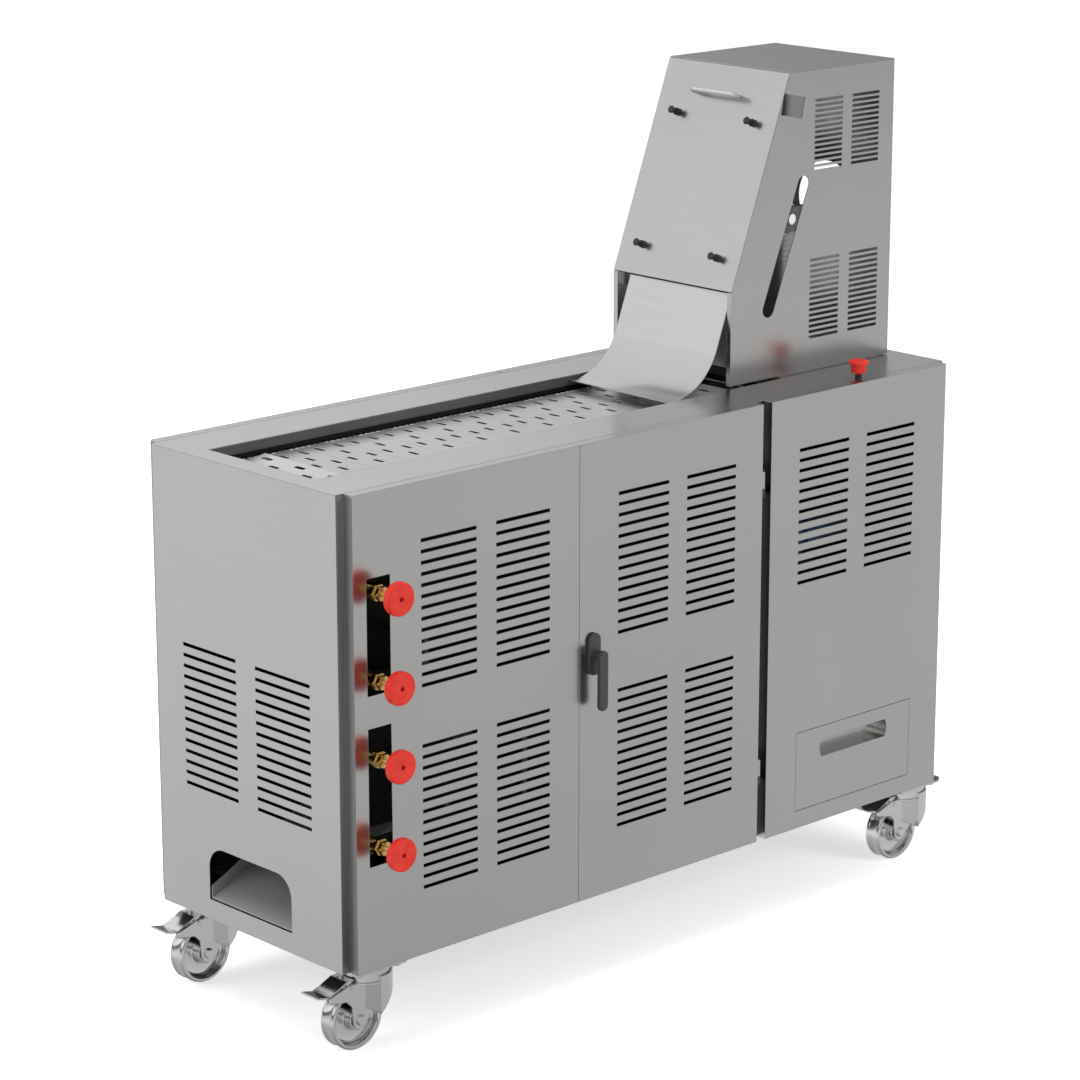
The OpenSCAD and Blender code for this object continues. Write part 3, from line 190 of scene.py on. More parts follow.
# %% [markdown]
# ## Flat parts
# A backplate, a lever or a strip is an outline with a thickness. Its rims are
# rounded by drawing the outline in by a quarter circle at both faces. A Bevel
# modifier could round them too; here the rounding is part of the grid.

# %% Flat parts
def outline_normals(outline):
    """Outward normals of a closed outline, from the chord between neighbours."""
    chord = np.roll(outline, -1, 0) - np.roll(outline, 1, 0)
    normal = np.stack([chord[:, 1], -chord[:, 0]], 1)
    return normal / np.linalg.norm(normal, axis=1)[:, None]


def flat(outline, low, high, edge, base, u, v, finish=0, steps=3):
    """Slab over an outline: w runs from low to high, and both rims are rounded by edge."""
    outline = np.asarray(outline, float)
    normal = outline_normals(outline)
    a = np.linspace(0, np.pi / 2, steps + 1)
    inset = np.concatenate([edge * (1 - np.sin(a)), edge * (1 - np.cos(a))])
    height = np.concatenate([low + edge * (1 - np.cos(a)), high - edge * (1 - np.sin(a))])
    u, v = np.asarray(u, float), np.asarray(v, float)
    w = np.cross(u, v)
    flat_points = outline[None] - inset[:, None, None] * normal[None]
    points = (np.asarray(base, float) + flat_points[..., :1] * u + flat_points[..., 1:] * v
              + height[:, None, None] * w)
    n = len(outline)
    caps = [np.arange(n)[None, ::-1], np.arange(n)[None] + (len(inset) - 1) * n]
    return points.reshape(-1, 3), [grid_faces(len(inset), n, wrap_v=True)] + caps, finish


def rounded_box_outline(w, h, r, steps=6):
    """Closed outline of a w x h rectangle with corners of radius r, anticlockwise."""
    a = np.linspace(0, np.pi / 2, steps + 1)
    corners = [(w / 2 - r, h / 2 - r, 0), (r - w / 2, h / 2 - r, 1),
               (r - w / 2, r - h / 2, 2), (w / 2 - r, r - h / 2, 3)]
    return np.concatenate([np.stack([cx + r * np.cos(a + q * np.pi / 2),
                                     cy + r * np.sin(a + q * np.pi / 2)], 1)
                           for cx, cy, q in corners])


print("a rounded box outline has", len(rounded_box_outline(2, 1, 0.1)), "points")

# %% [markdown]
# ## Building blocks of a finish
# Every finish is worked out from noise on the object's own coordinates, so it
# stays on the piece in every view. One helper makes the noise, two map it to a
# number or a colour, and one turns it into a faint bump over a bevelled
# normal, which lets folded edges catch light.

# %% Building blocks of a finish
def new_material(name):
    """An empty node material with its Principled shader and output."""
    material = bpy.data.materials.new(name)
    material.use_nodes = True
    tree = material.node_tree
    return material, tree, tree.nodes["Principled BSDF"]


def stretched_noise(tree, scale, stretch, detail=4.0):
    """Noise on Object coordinates, squeezed by stretch = (x, y, z)."""
    coordinates = tree.nodes.new("ShaderNodeTexCoord")
    mapping = tree.nodes.new("ShaderNodeMapping")
    mapping.inputs["Scale"].default_value = stretch
    noise = tree.nodes.new("ShaderNodeTexNoise")
    noise.inputs["Scale"].default_value = scale
    noise.inputs["Detail"].default_value = detail
    tree.links.new(coordinates.outputs["Object"], mapping.inputs["Vector"])
    tree.links.new(mapping.outputs["Vector"], noise.inputs["Vector"])
    return noise


def ramp(tree, source, low, high, start=0.3, end=0.7):
    """Maps a value between start and end to low and high."""
    node = tree.nodes.new("ShaderNodeMapRange")
    node.inputs["From Min"].default_value = start
    node.inputs["From Max"].default_value = end
    node.inputs["To Min"].default_value = low
    node.inputs["To Max"].default_value = high
    tree.links.new(source, node.inputs["Value"])
    return node.outputs["Result"]


def tint(tree, source, dark, light, start=0.35, end=0.65):
    """Colour between dark and light as a value runs from start to end."""
    node = tree.nodes.new("ShaderNodeValToRGB")
    node.color_ramp.elements[0].position = start
    node.color_ramp.elements[0].color = (*dark, 1)
    node.color_ramp.elements[1].position = end
    node.color_ramp.elements[1].color = (*light, 1)
    tree.links.new(source, node.inputs["Fac"])
    return node.outputs["Color"]


def surface_normal(tree, shader, height, strength, distance, edge):
    """Bump from a height over a bevelled normal; edge is the bevel's radius in metres."""
    bump = tree.nodes.new("ShaderNodeBump")
    bump.inputs["Strength"].default_value = strength
    bump.inputs["Distance"].default_value = distance
    tree.links.new(height, bump.inputs["Height"])
    if edge:
        bevel = tree.nodes.new("ShaderNodeBevel")
        bevel.samples = 4
        bevel.inputs["Radius"].default_value = edge
        tree.links.new(bevel.outputs["Normal"], bump.inputs["Normal"])
    tree.links.new(bump.outputs["Normal"], shader.inputs["Normal"])


print("finish helpers ready, materials so far:", len(bpy.data.materials))

# %% [markdown]
# ## Sheet metal
# The covers are stainless steel with a fine lengthwise grain. The grain is
# noise stretched along one axis, which moves the roughness. A wider noise lets
# the tone drift as rolled sheet does. The grain runs along each sheet's length.

# %% Sheet metal
BUMP_DEPTH = 0.0002  # metres
DRIFT_SCALE = 2.2  # patches of tone per metre
ALONG_X, ALONG_Y, ALONG_Z = (0.02, 1, 1), (1, 0.02, 1), (1, 1, 0.02)
SATIN = (0.23, 0.27)


def metal(name, dark, light, rough, grain=(1, 1, 1), grain_scale=400.0, bump=0.015,
          edge=0.0012, metallic=1.0):
    """Metal with grain along the axis whose stretch is small."""
    material, tree, shader = new_material(name)
    shader.inputs["Metallic"].default_value = metallic
    fine = stretched_noise(tree, grain_scale, grain)
    drift = stretched_noise(tree, DRIFT_SCALE, (1, 1, 1), 2.0)
    tree.links.new(tint(tree, drift.outputs["Fac"], dark, light), shader.inputs["Base Color"])
    tree.links.new(ramp(tree, fine.outputs["Fac"], rough[0], rough[1]), shader.inputs["Roughness"])
    surface_normal(tree, shader, fine.outputs["Fac"], bump, BUMP_DEPTH, edge)
    return material


front_sheet = metal("front_sheet", (0.575, 0.575, 0.562), (0.60, 0.60, 0.587), SATIN, ALONG_X)
end_sheet = metal("end_sheet", (0.585, 0.58, 0.57), (0.605, 0.60, 0.59), SATIN, ALONG_Y)
deck_sheet = metal("deck_sheet", (0.61, 0.61, 0.61), (0.635, 0.635, 0.635), SATIN, ALONG_X)
tower_sheet = metal("tower_sheet", (0.575, 0.57, 0.56), (0.60, 0.595, 0.585), SATIN, ALONG_Z)
cover_sheet = metal("cover_sheet", (0.50, 0.50, 0.50), (0.525, 0.525, 0.525), SATIN, ALONG_Y)
chute_sheet = metal("chute_sheet", (0.575, 0.575, 0.575), (0.60, 0.60, 0.60), SATIN, ALONG_Y)
slat_steel = metal("slat_steel", (0.68, 0.68, 0.68), (0.73, 0.73, 0.73), (0.28, 0.36), ALONG_Y)
print("sheets:", len(bpy.data.materials))

# %% [markdown]
# ## Other metals
# The frame and the conveyor are darker and duller than the covers, and heat has dulled them.
# The oven steel is near black: painted shade of the closed cabinet's inside, which keeps
# the louvres black. The trough liner's dark grey is painted shade of the trough, and the
# corner strips' dark grey is painted shade of the recessed corners. A less metallic
# surface shows its own grey in places that mirror only the dark. The castors are plated
# and the bow handle is polished, so both are smoother and brighter.

# %% Other metals
frame_steel = metal("frame_steel", (0.16, 0.16, 0.16), (0.22, 0.22, 0.215), (0.4, 0.55), ALONG_X)
# Near-black oven steel: painted shade of the closed cabinet's inside, which keeps the louvres
# black.
oven_shade_steel = metal("oven_shade_steel", (0.03, 0.03, 0.03), (0.055, 0.054, 0.052), (0.45, 0.6), ALONG_X)
dark_steel = metal("dark_steel", (0.10, 0.10, 0.10), (0.17, 0.165, 0.16), (0.35, 0.5))
chain_steel = metal("chain_steel", (0.46, 0.46, 0.455), (0.66, 0.655, 0.65), (0.25, 0.4),
                    edge=0, metallic=0.3)
# Dark grey steel of the corner strips: painted shade of the recessed corners.
corner_shade_steel = metal("corner_shade_steel", (0.36, 0.36, 0.355), (0.40, 0.40, 0.395), (0.38, 0.44), ALONG_Z)
# Dark grey steel of the trough liner: painted shade of the trough.
trough_shade_steel = metal("trough_shade_steel", (0.13, 0.13, 0.13), (0.21, 0.205, 0.20), (0.4, 0.6),
                       ALONG_X, grain_scale=90.0, edge=0, metallic=0.6)
tray_steel = metal("tray_steel", (0.33, 0.33, 0.33), (0.38, 0.38, 0.38), (0.35, 0.45), ALONG_X,
                   metallic=0.45)
castor_steel = metal("castor_steel", (0.70, 0.70, 0.695), (0.78, 0.78, 0.775), (0.12, 0.2),
                     grain_scale=120.0, edge=0.0015)
bright_steel = metal("bright_steel", (0.74, 0.74, 0.74), (0.80, 0.80, 0.80), (0.05, 0.09), edge=0)
brass = metal("brass", (0.78, 0.53, 0.17), (0.90, 0.66, 0.28), (0.14, 0.24),
              grain_scale=250.0, edge=0.0008)
print("metals:", len(bpy.data.materials))

# %% [markdown]
# ## Plastic and paint
# Plastics and paint are moulded or sprayed: the colour barely changes, and a
# fine noise keeps the gloss from being perfect. A plain colour could do for
# small parts, but it looks flat beside the steel.

# %% Plastic and paint finishes
def plastic(name, dark, light, rough, scale=60.0, bump=0.04, edge=0.001, gloss=0.5):
    """Moulded or painted surface with faint mottling."""
    material, tree, shader = new_material(name)
    shader.inputs["Specular IOR Level"].default_value = gloss
    fine = stretched_noise(tree, scale, (1, 1, 1), 3.0)
    tree.links.new(tint(tree, fine.outputs["Fac"], dark, light), shader.inputs["Base Color"])
    tree.links.new(ramp(tree, fine.outputs["Fac"], rough[0], rough[1]), shader.inputs["Roughness"])
    surface_normal(tree, shader, fine.outputs["Fac"], bump, BUMP_DEPTH, edge)
    return material


red_plastic = plastic("red_plastic", (0.64, 0.028, 0.018), (0.70, 0.040, 0.026), (0.3, 0.38),
                      gloss=0.25)
black_plastic = plastic("black_plastic", (0.012, 0.012, 0.012), (0.02, 0.02, 0.02), (0.35, 0.5))
handle_paint = plastic("handle_paint", (0.045, 0.045, 0.045), (0.055, 0.055, 0.055),
                       (0.4, 0.5), 300.0)
motor_paint = plastic("motor_paint", (0.03, 0.07, 0.14), (0.05, 0.1, 0.19), (0.35, 0.5), 90.0)
bearing_paint = plastic("bearing_paint", (0.05, 0.055, 0.06), (0.09, 0.095, 0.1),
                        (0.45, 0.6), 200.0)
roller_polymer = plastic("roller_polymer", (0.72, 0.71, 0.68), (0.8, 0.79, 0.76),
                         (0.3, 0.4), 80.0)
print("materials:", len(bpy.data.materials))

# %% [markdown]
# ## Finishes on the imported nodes
# Most parts of the machine keep the mesh that CAD gave them, so all they need
# is a finish. A table says which node is made of what, and parts that come in
# several numbered copies are listed once.

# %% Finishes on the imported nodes
NODE_FINISH = {
    "front_panel": front_sheet, "service_door": front_sheet, "tool_box_panel": front_sheet,
    "back_covers": front_sheet, "drawer": front_sheet, "left_end_panel": end_sheet,
    "right_end_panel": end_sheet, "top_deck": deck_sheet, "outlet_tray": tray_steel,
    "tower_side_panels": tower_sheet, "tower_top_sheet": tower_sheet,
    "tower_cover": cover_sheet, "chute": chute_sheet, "base_frame": frame_steel,
    "bottom_pan": oven_shade_steel, "door_hinges": dark_steel, "drawer_runners": frame_steel,
    "oven_side_plates": oven_shade_steel, "conveyor_slats": slat_steel, "roller_chains": chain_steel,
    "flange_bearings": bearing_paint, "gear_motors": motor_paint, "burner_tubes": frame_steel,
    "gas_manifold": brass, "valve_bodies": brass, "tower_cross_bars": frame_steel,
    "cover_handle": bright_steel, "e_stop_button": red_plastic, "e_stop_collar": black_plastic,
    "handle_backplate": handle_paint, "handle_lever": handle_paint,
    "castor_plates": castor_steel, "sheeting_roller_front": roller_polymer,
    "sheeting_roller_rear": roller_polymer}
NUMBERED = {"drive_shaft": (3, frame_steel), "idler_shaft": (3, frame_steel),
            "valve_knob": (4, red_plastic), "cover_knob": (4, black_plastic),
            "castor_fork": (4, castor_steel), "castor_wheel": (4, castor_steel),
            "brake_pedal": (4, castor_steel)}
for stem, (count, finish) in NUMBERED.items():
    NODE_FINISH.update({f"{stem}_{k + 1}": finish for k in range(count)})
for name, node in nodes.items():
    node.data.materials.clear()
    node.data.materials.append(NODE_FINISH[name])
print("nodes with a finish:", len(NODE_FINISH))

# %% [markdown]
# ## Handwheels
# Four red moulded handwheels sit on brass spindles. A handwheel is turned: a
# flat face, a rounded rim and a small hole in the middle for the screw. The
# spindle behind it has a collar and a thread. A cylinder with a bevel could
# stand for the wheel; a profile also gives the hole and the recess behind.

# %% Handwheels
VALVE_X, VALVE_Z = 66.2, (626.0, 481.0, 352.0, 206.0)
WHEEL_R, WHEEL_FRONT, WHEEL_BACK = 27.5, -56.0, -42.0


def arc(cx, cy, r, start, end, steps=8):
    """Points of a circle arc, angles in degrees, as rows (x, y)."""
    a = np.radians(np.linspace(start, end, steps + 1))
    return np.stack([cx + r * np.cos(a), cy + r * np.sin(a)], 1)


def handwheel_profile():
    """Rows (radius, y) from the hole's floor over face and rim to the back's middle."""
    depth = WHEEL_BACK - WHEEL_FRONT
    rim, recess = 3.0, 2.0
    return np.concatenate([
        [[0, 6.0], [3.9, 6.0], [3.9, 0.8]], arc(4.8, 0.9, 0.9, 180, 270, 3), [[20.0, 0.0]],
        arc(WHEEL_R - rim, rim, rim, -90, 0), arc(WHEEL_R - rim, depth - rim, rim, 0, 90),
        [[21.0, depth], [19.5, depth - recess], [9.5, depth - recess], [8.5, depth],
         [0, depth]]])


def spindle_profile():
    """Rows (radius, y): collar, thread with r = 3.75 + 0.2 cos(2 pi y), plain end."""
    middle, depth, start, length = 3.75, 0.2, 20.0, 24.0
    up = np.arange(0, length + 0.01, 0.5)
    thread = np.stack([middle + depth * np.cos(up * 2 * np.pi), start + up], 1)
    return np.concatenate([[[0, 10.0], [6.2, 10.0], [6.2, 17.5], [5.6, 18.2], [3.9, 18.2]],
                           thread, [[3.9, 45.0], [3.9, 77.0], [0, 77.0]]])


for k, z in enumerate(VALVE_Z):
    base = (VALVE_X, WHEEL_FRONT, z)
    piece(f"handwheel_{k + 1}",
          [turned(handwheel_profile(), base, (0, 1, 0), 0, 64),
           turned(spindle_profile(), base, (0, 1, 0), 1, 24)],
          [red_plastic, brass], f"valve_knob_{k + 1}", (f"valve_knob_{k + 1}",))

# %% [markdown]
# ## Valve bodies
# Behind each handwheel a brass valve body carries a hexagon bonnet and a
# smaller packing nut. A nut is a hexagon whose corners are cut by a cone at
# both faces, with a bore for the spindle. Cutting a prism with a Boolean could
# make it; taking the smaller of two radii gives the same shape on one grid.

# %% Valve bodies
CHAMFER = 0.09  # share of the corner radius that the cone takes off


def nut(corner_r, bore, low, high, base, axis, finish=0, sides=96):
    """r(a, h) = min(across-flats hexagon, chamfer circle(h)), closed by the bore."""
    a = np.linspace(0, 2 * np.pi, sides, endpoint=False)
    hexagon = corner_r * math.cos(math.pi / 6) / np.cos(np.mod(a, np.pi / 3) - np.pi / 6)
    cut = CHAMFER * corner_r
    limits = [(1 - CHAMFER, low), (1.0, low + cut), (1.0, high - cut), (1 - CHAMFER, high)]
    rows = [(np.minimum(hexagon, share * corner_r), h) for share, h in limits]
    rows = [(np.full(sides, bore), low)] + rows + [(np.full(sides, bore), high)]
    radius = np.array([r for r, _ in rows])[..., None]
    along = np.array([h for _, h in rows])[:, None, None]
    axis, u, v = axes_of(axis)
    ring = np.cos(a)[:, None] * u + np.sin(a)[:, None] * v
    points = np.asarray(base, float) + along * axis + radius * ring[None]
    return points.reshape(-1, 3), [grid_faces(len(rows), sides, True, True)], finish


SPINDLE_BORE = 4.05
body = [[SPINDLE_BORE, 8.1], [11.4, 8.1], [12.0, 8.8], [12.0, 19.0], [10.6, 20.4],
        [10.6, 26.0], [11.9, 27.2], [11.9, 37.2], [11.2, 38.0], [0, 38.0]]
surfaces = []
for z in VALVE_Z:
    base = (VALVE_X, 0.0, z)
    surfaces += [turned(body, base, (0, 1, 0), 0, 48),
                 nut(15.0, SPINDLE_BORE, -2.0, 8.0, base, (0, 1, 0)),
                 nut(12.5, SPINDLE_BORE, -12.0, -2.3, base, (0, 1, 0))]
piece("valve_brass", surfaces, [brass], "cabinet", ("valve_bodies",))

# %% [markdown]
# ## Chain loops
# Each conveyor runs on two half-inch roller chains, six links to a slat. A
# chain's pins lie on a stadium: two straight runs and a half circle round each
# sprocket. The lowest conveyor is shorter than the two above it. An Array with
# a Curve modifier would follow such a loop too, but would bend the links.

# %% Chain loops
PITCH = 75.2 / 6
SPROCKET_R = 40.6
IDLER_X = 107.3
SLAT_DROP, SLAT_T, CHAIN_HALF = 22, 2, 6.1
PITCH_LINE = BODY_H - SLAT_DROP - SLAT_T - CHAIN_HALF
TIER_LINKS = (168, 168, 132)
TIER_DROP = 200
DRIVE_X = IDLER_X + (TIER_LINKS[0] * PITCH - 2 * np.pi * SPROCKET_R) / 2


def loop_points(s, links, x_right, z, r):
    """Positions (x, z) on a stadium loop at arc lengths s, clockwise from the top left."""
    run = (links * PITCH - 2 * np.pi * r) / 2
    x_left = x_right - run
    turn = np.pi * r
    s = np.mod(s, 2 * (run + turn))
    a = np.where(s < run + turn, (s - run) / r, np.pi + (s - 2 * run - turn) / r)
    x = np.select([s < run, s < run + turn, s < 2 * run + turn],
                  [x_left + s, x_right + r * np.sin(a), x_right - (s - run - turn)],
                  x_left + r * np.sin(a))
    h = np.select([s < run, s < run + turn, s < 2 * run + turn],
                  [z + r + 0 * s, z + r * np.cos(a), z - r + 0 * s], z + r * np.cos(a))
    return np.stack([x, h], 1)


print("runs of the upper chains end at x =", IDLER_X, "and", round(DRIVE_X, 1))

# %% [markdown]
# ## Chain links
# A chain is links of two figure-eight plates, alternately inner and outer,
# with a roller round every pin. One link is a small array; all links of a
# chain are that array turned and moved along the loop at once.

# %% Chain links
WAIST, PLATE_R, PLATE_T = 3.6, 5.4, 1.5
ROLLER_R, PIN_R = 4.1, 1.8
INNER_IN, OUTER_IN, ROLLER_IN = 3.6, 1.7, 4.6  # distances from the chain's edge
PIN_SIDES = 10


def link_plate(length, waist, end_r, steps=5, spread=62):
    """Outline of a figure-eight plate: an arc of +-spread round each pin, and a waist."""
    right = arc(length, 0, end_r, -spread, spread, steps)
    left = arc(0, 0, end_r, 180 - spread, 180 + spread, steps)
    return np.concatenate([right, [[length / 2, waist]], left, [[length / 2, -waist]]])


def placed_links(starts, ends, local_points):
    """Local points (along, up, across) put on every link from start to end pin."""
    along = ends - starts
    along /= np.linalg.norm(along, axis=1)[:, None]
    up = np.stack([-along[:, 1], along[:, 0]], 1)
    flat_part = (starts[:, None] + local_points[None, :, :1] * along[:, None]
                 + local_points[None, :, 1:2] * up[:, None])
    across = np.broadcast_to(local_points[None, :, 2], flat_part.shape[:2])
    return np.stack([flat_part[..., 0], across, flat_part[..., 1]], -1)


def prism(outline, low, high):
    """Closed prism over an outline in (along, up), from low to high across."""
    n = len(outline)
    points = np.concatenate([np.column_stack([outline, np.full(n, low)]),
                             np.column_stack([outline, np.full(n, high)])])
    caps = [np.arange(n)[None, ::-1], np.arange(n)[None] + n]
    return points, [grid_faces(2, n, wrap_v=True)] + caps


def repeat(points, face_sets, copies, finish):
    """The faces of one small part repeated for every copy of its points."""
    n = points.shape[1]
    shift = (np.arange(copies) * n)[:, None, None]
    sets = [(f[None] + shift).reshape(-1, f.shape[1]) for f in face_sets]
    return points.reshape(-1, 3), sets, finish


def chain_surfaces(links, x_right, z, r, y, width):
    """Plates, rollers and pins of one chain whose middle plane lies at y."""
    s = np.arange(links) * PITCH
    pins = loop_points(s, links, x_right, z, r)
    ends = np.roll(pins, -1, 0)
    surfaces = []
    half = width / 2
    for phase, offset in ((0, half - INNER_IN), (1, half - OUTER_IN)):
        for side in (-1, 1):
            low = y + side * offset - PLATE_T / 2
            local, faces = prism(link_plate(PITCH, WAIST, PLATE_R), low, low + PLATE_T)
            chosen = slice(phase, None, 2)
            points = placed_links(pins[chosen], ends[chosen], local)
            surfaces.append(repeat(points, faces, len(points), 0))
    a = np.linspace(0, 2 * np.pi, PIN_SIDES, endpoint=False)
    circle = np.stack([np.cos(a), np.sin(a)], 1)
    for radius, reach in ((ROLLER_R, half - ROLLER_IN), (PIN_R, half)):
        local, faces = prism(circle * radius, y - reach, y + reach)
        points = placed_links(pins, ends, local)
        surfaces.append(repeat(points, faces, len(points), 0))
    return surfaces


print("one plate has", len(link_plate(PITCH, WAIST, PLATE_R)), "corners")

# %% [markdown]
# ## The seven chains
# Three conveyors lie above each other, with a chain at each side. Behind them
# an upright chain links the drive shaft of the first conveyor with that of the
# third. It is made lying, stood up, and stretched by a hair to the distance
# between those two shafts.

# %% The seven chains
CHAIN_OUT, CHAIN_W = 121.5, 17
LINK_LINKS, LINK_R, LINK_Y, LINK_W, LINK_SPAN = 76, 25.0, 424.0, 8, 2 * TIER_DROP
surfaces = []
for tier, links in enumerate(TIER_LINKS):
    z = PITCH_LINE - SPROCKET_R - TIER_DROP * tier
    for side in (-1, 1):
        surfaces += chain_surfaces(links, DRIVE_X, z, SPROCKET_R, CENTER_Y + side * CHAIN_OUT,
                                   CHAIN_W)
link_z = PITCH_LINE - SPROCKET_R - TIER_DROP
run = (LINK_LINKS * PITCH - 2 * np.pi * LINK_R) / 2
for points, sets, finish in chain_surfaces(LINK_LINKS, 0, 0, LINK_R, LINK_Y, LINK_W):
    along = (points[:, 0] + run / 2) * LINK_SPAN / run
    upright = np.stack([DRIVE_X + points[:, 2], points[:, 1], link_z - along], 1)
    surfaces.append((upright, sets, finish))
piece("roller_chains_detail", surfaces, [chain_steel], "cabinet",
      ("roller_chains",))

# %% [markdown]
# ## Trough liner
# The opening in the deck is lined with thin dark steel, and an apron inside it
# goes down behind the chains, in front of the oven's side plates. The liner's
# dark grey and the apron's near-black are painted shade of the trough. Both are
# a closed ring of four walls.

# %% Trough liner
def frame_ring(x0, x1, y0, y1, low, high, wall, finish):
    """Upright wall round a rectangle: outer corners, and inner corners wall further in."""
    corners = np.array([[x0, y0, 1, 1], [x1, y0, -1, 1], [x1, y1, -1, -1], [x0, y1, 1, -1]],
                       float)
    rows = [corners[:, :2] + inset * corners[:, 2:] for inset in (0, 0, wall, wall)]
    heights = (low, high, high, low)
    points = np.stack([np.column_stack([row, np.full(4, h)])
                       for row, h in zip(rows, heights)], 1)
    return points.reshape(-1, 3), [grid_faces(4, 4, True, True)], finish


OPENING = (41.0, 1101.0, 118.0, 390.0)
LINER_T = 0.5


def lining(gap_x, gap_y, deep, shallow, finish):
    """Ring inside the opening, with its walls this far in and this far below the deck."""
    x0, x1, y0, y1 = OPENING
    return frame_ring(x0 + gap_x, x1 - gap_x, y0 + gap_y, y1 - gap_y,
                      BODY_H - deep, BODY_H - shallow, LINER_T, finish)


liner = lining(0.1, 0.1, 18.9, 1.7, 0)
apron = lining(0.6, 2.2, 34.0, 17.0, 1)
# The liner's dark grey and the apron's near-black are painted shade of the trough.
piece("trough_liner", [liner, apron], [trough_shade_steel, oven_shade_steel], "cabinet")

# %% [markdown]
# ## Corner strips of painted shade
# At the cabinet's corners a thin strip lies over the seam between each end
# panel's fold and the cover beside it. Its dark grey is painted shade: it stands
# for the shade in the recessed corner. It is an L in plan; the other three
# corners mirror the first, and an outline that is mirrored once is reversed,
# so that it still runs anticlockwise.

# %% Corner strips
STRIP_LOW, STRIP_HIGH = 1.0, 787.0
STRIP_SHIFT = 0.5  # the right strips lie this much nearer their end panel's face
angle = np.array([[0.6, 21.2], [0.6, 20.6], [14.0, 20.6], [14.0, 0.6], [14.6, 0.6],
                  [14.6, 21.2]])
strips = []
for flip_x in (False, True):
    for flip_y in (False, True):
        outline = angle.copy()
        if flip_x:
            outline[:, 0] = BODY_L + STRIP_SHIFT - outline[:, 0]
        if flip_y:
            outline[:, 1] = BODY_D - outline[:, 1]
        if flip_x != flip_y:
            outline = outline[::-1]
        strips.append(flat(outline, STRIP_LOW, STRIP_HIGH, 0.1, (0, 0, 0), (1, 0, 0),
                           (0, 1, 0), 0, 1))
# The strips' dark grey is painted shade of the recessed corners.
piece("corner_shade_strips", strips, [corner_shade_steel], "cabinet")

# %% [markdown]
# ## Stop button
# The emergency stop is a red mushroom on a short stem: turned, with rounded
# rims and a softly domed head, whose height falls with the radius squared. A
# squashed sphere could be the head, but its rim would have no edge.

# %% Stop button
STOP = (1206.0, 30.0, BODY_H)
DOME_TOP, DOME_DROP, DOME_R = 33.5, 2.2, 15.5
dome = np.linspace(14.5, 0, 10)
head = np.concatenate([
    [[0, -14], [3.5, -14], [3.5, 10.0], [12.3, 10.0]], arc(12.5, 11.0, 1.0, -90, 0, 4),
    [[13.5, 24.6], [14.0, 25.0]], arc(16.5, 26.2, 1.2, -90, 0, 5),
    arc(15.9, 29.0, 1.8, 0, 80, 6),
    np.stack([dome, DOME_TOP - DOME_DROP * (dome / DOME_R) ** 2], 1)])
piece("stop_mushroom", [turned(head, STOP, (0, 0, 1), 0, 64)], [red_plastic], "stop_button",
      ("e_stop_button",))

# %% [markdown]
# ## Tower knobs
# Four waisted thumb knobs hold the tower's sloping cover. Each is turned about
# the slope's normal, with a dark steel collar under a black grip. Places on
# the cover are given as so far up the slope, across and out of it.

# %% Tower knobs
TOWER_X, COVER_Y = 980.5, CENTER_Y + 16.8
MOUTH_H, TOWER_H, SLOPE_RUN = 168.8, 536.4, 137.3
SLOPE = math.atan2(TOWER_H - MOUTH_H, SLOPE_RUN)
MOUTH_TOP = BODY_H + MOUTH_H
UP_SLOPE = np.array([math.cos(SLOPE), 0, math.sin(SLOPE)])
OUT = np.array([-math.sin(SLOPE), 0, math.cos(SLOPE)])


def on_cover(s, y, n):
    """Point s up the sloping cover, y across the tower, n out of its face."""
    return np.array([TOWER_X, y, MOUTH_TOP]) + s * UP_SLOPE + n * OUT


def knob_profile():
    """Rows (radius, height) of the grip: r = waist + flare (2h - 1)^2 for h from 0 to 1."""
    waist, flare, foot, length = 5.2, 1.7, 4.2, 13.2
    h = np.linspace(0, 1, 15)
    grip = np.stack([waist + flare * (2 * h - 1) ** 2, foot + length * h], 1)
    return np.concatenate([[[0, 3.1], [6.1, 3.1], [6.9, 3.7]], grip,
                           arc(6.1, 17.9, 0.8, 0, 90, 4), [[0, 18.8]]])


KNOB_UP, KNOB_SIDE = (53.9, 296.0), 91.8
collar = [[0, -9], [3, -9], [3, 0.1], [6.0, 0.1], [6.5, 0.6], [6.5, 3.0], [0, 3.0]]
knob_places = [(s, COVER_Y + side * KNOB_SIDE) for s in KNOB_UP for side in (-1, 1)]
for k, (s, y) in enumerate(knob_places):
    knob = f"cover_knob_{k + 1}"
    piece(f"{knob}_turned", [turned(knob_profile(), on_cover(s, y, 0), OUT, 0, 32),
                             turned(collar, on_cover(s, y, 0), OUT, 1, 32)],
          [black_plastic, dark_steel], knob, (knob,))

# %% [markdown]
# ## Bow handle
# The cover is lifted off by a bright round bar, bent at both ends. Its path
# has two quarter circles and a straight middle, and a circle is swept along.
# A curve with a round bevel would look the same; the sweep is a mesh at once.

# %% Bow handle
def bow_path(half, out, r, steps=10):
    """Points (across, out) of a bar that rises, turns, crosses and comes back."""
    left = arc(r - half, out - r, r, 180, 90, steps)
    right = arc(half - r, out - r, r, 90, 0, steps)
    return np.concatenate([[[-half, 0.1]], left, right, [[half, 0.1]]])


BOW_UP, BOW_R = 336.0, 3.8
bow = bow_path(57.0, 25.0, 18.0)
path = np.array([on_cover(BOW_UP, COVER_Y + across, out) for across, out in bow])
piece("bow_handle", [swept(path, BOW_R, 0, 24)], [bright_steel], "tower_cover",
      ("cover_handle",))

# %% [markdown]
# ## Door handle
# The door has a dark lever handle: a capsule-shaped backplate and a flat lever
# with rounded rims hanging from a round neck. Behind the door, a small cam on
# the same neck catches the frame.

# %% Door handle
HANDLE = (531.0, 0.0, 430.0)
X_AXIS, Z_AXIS = (1, 0, 0), (0, 0, 1)


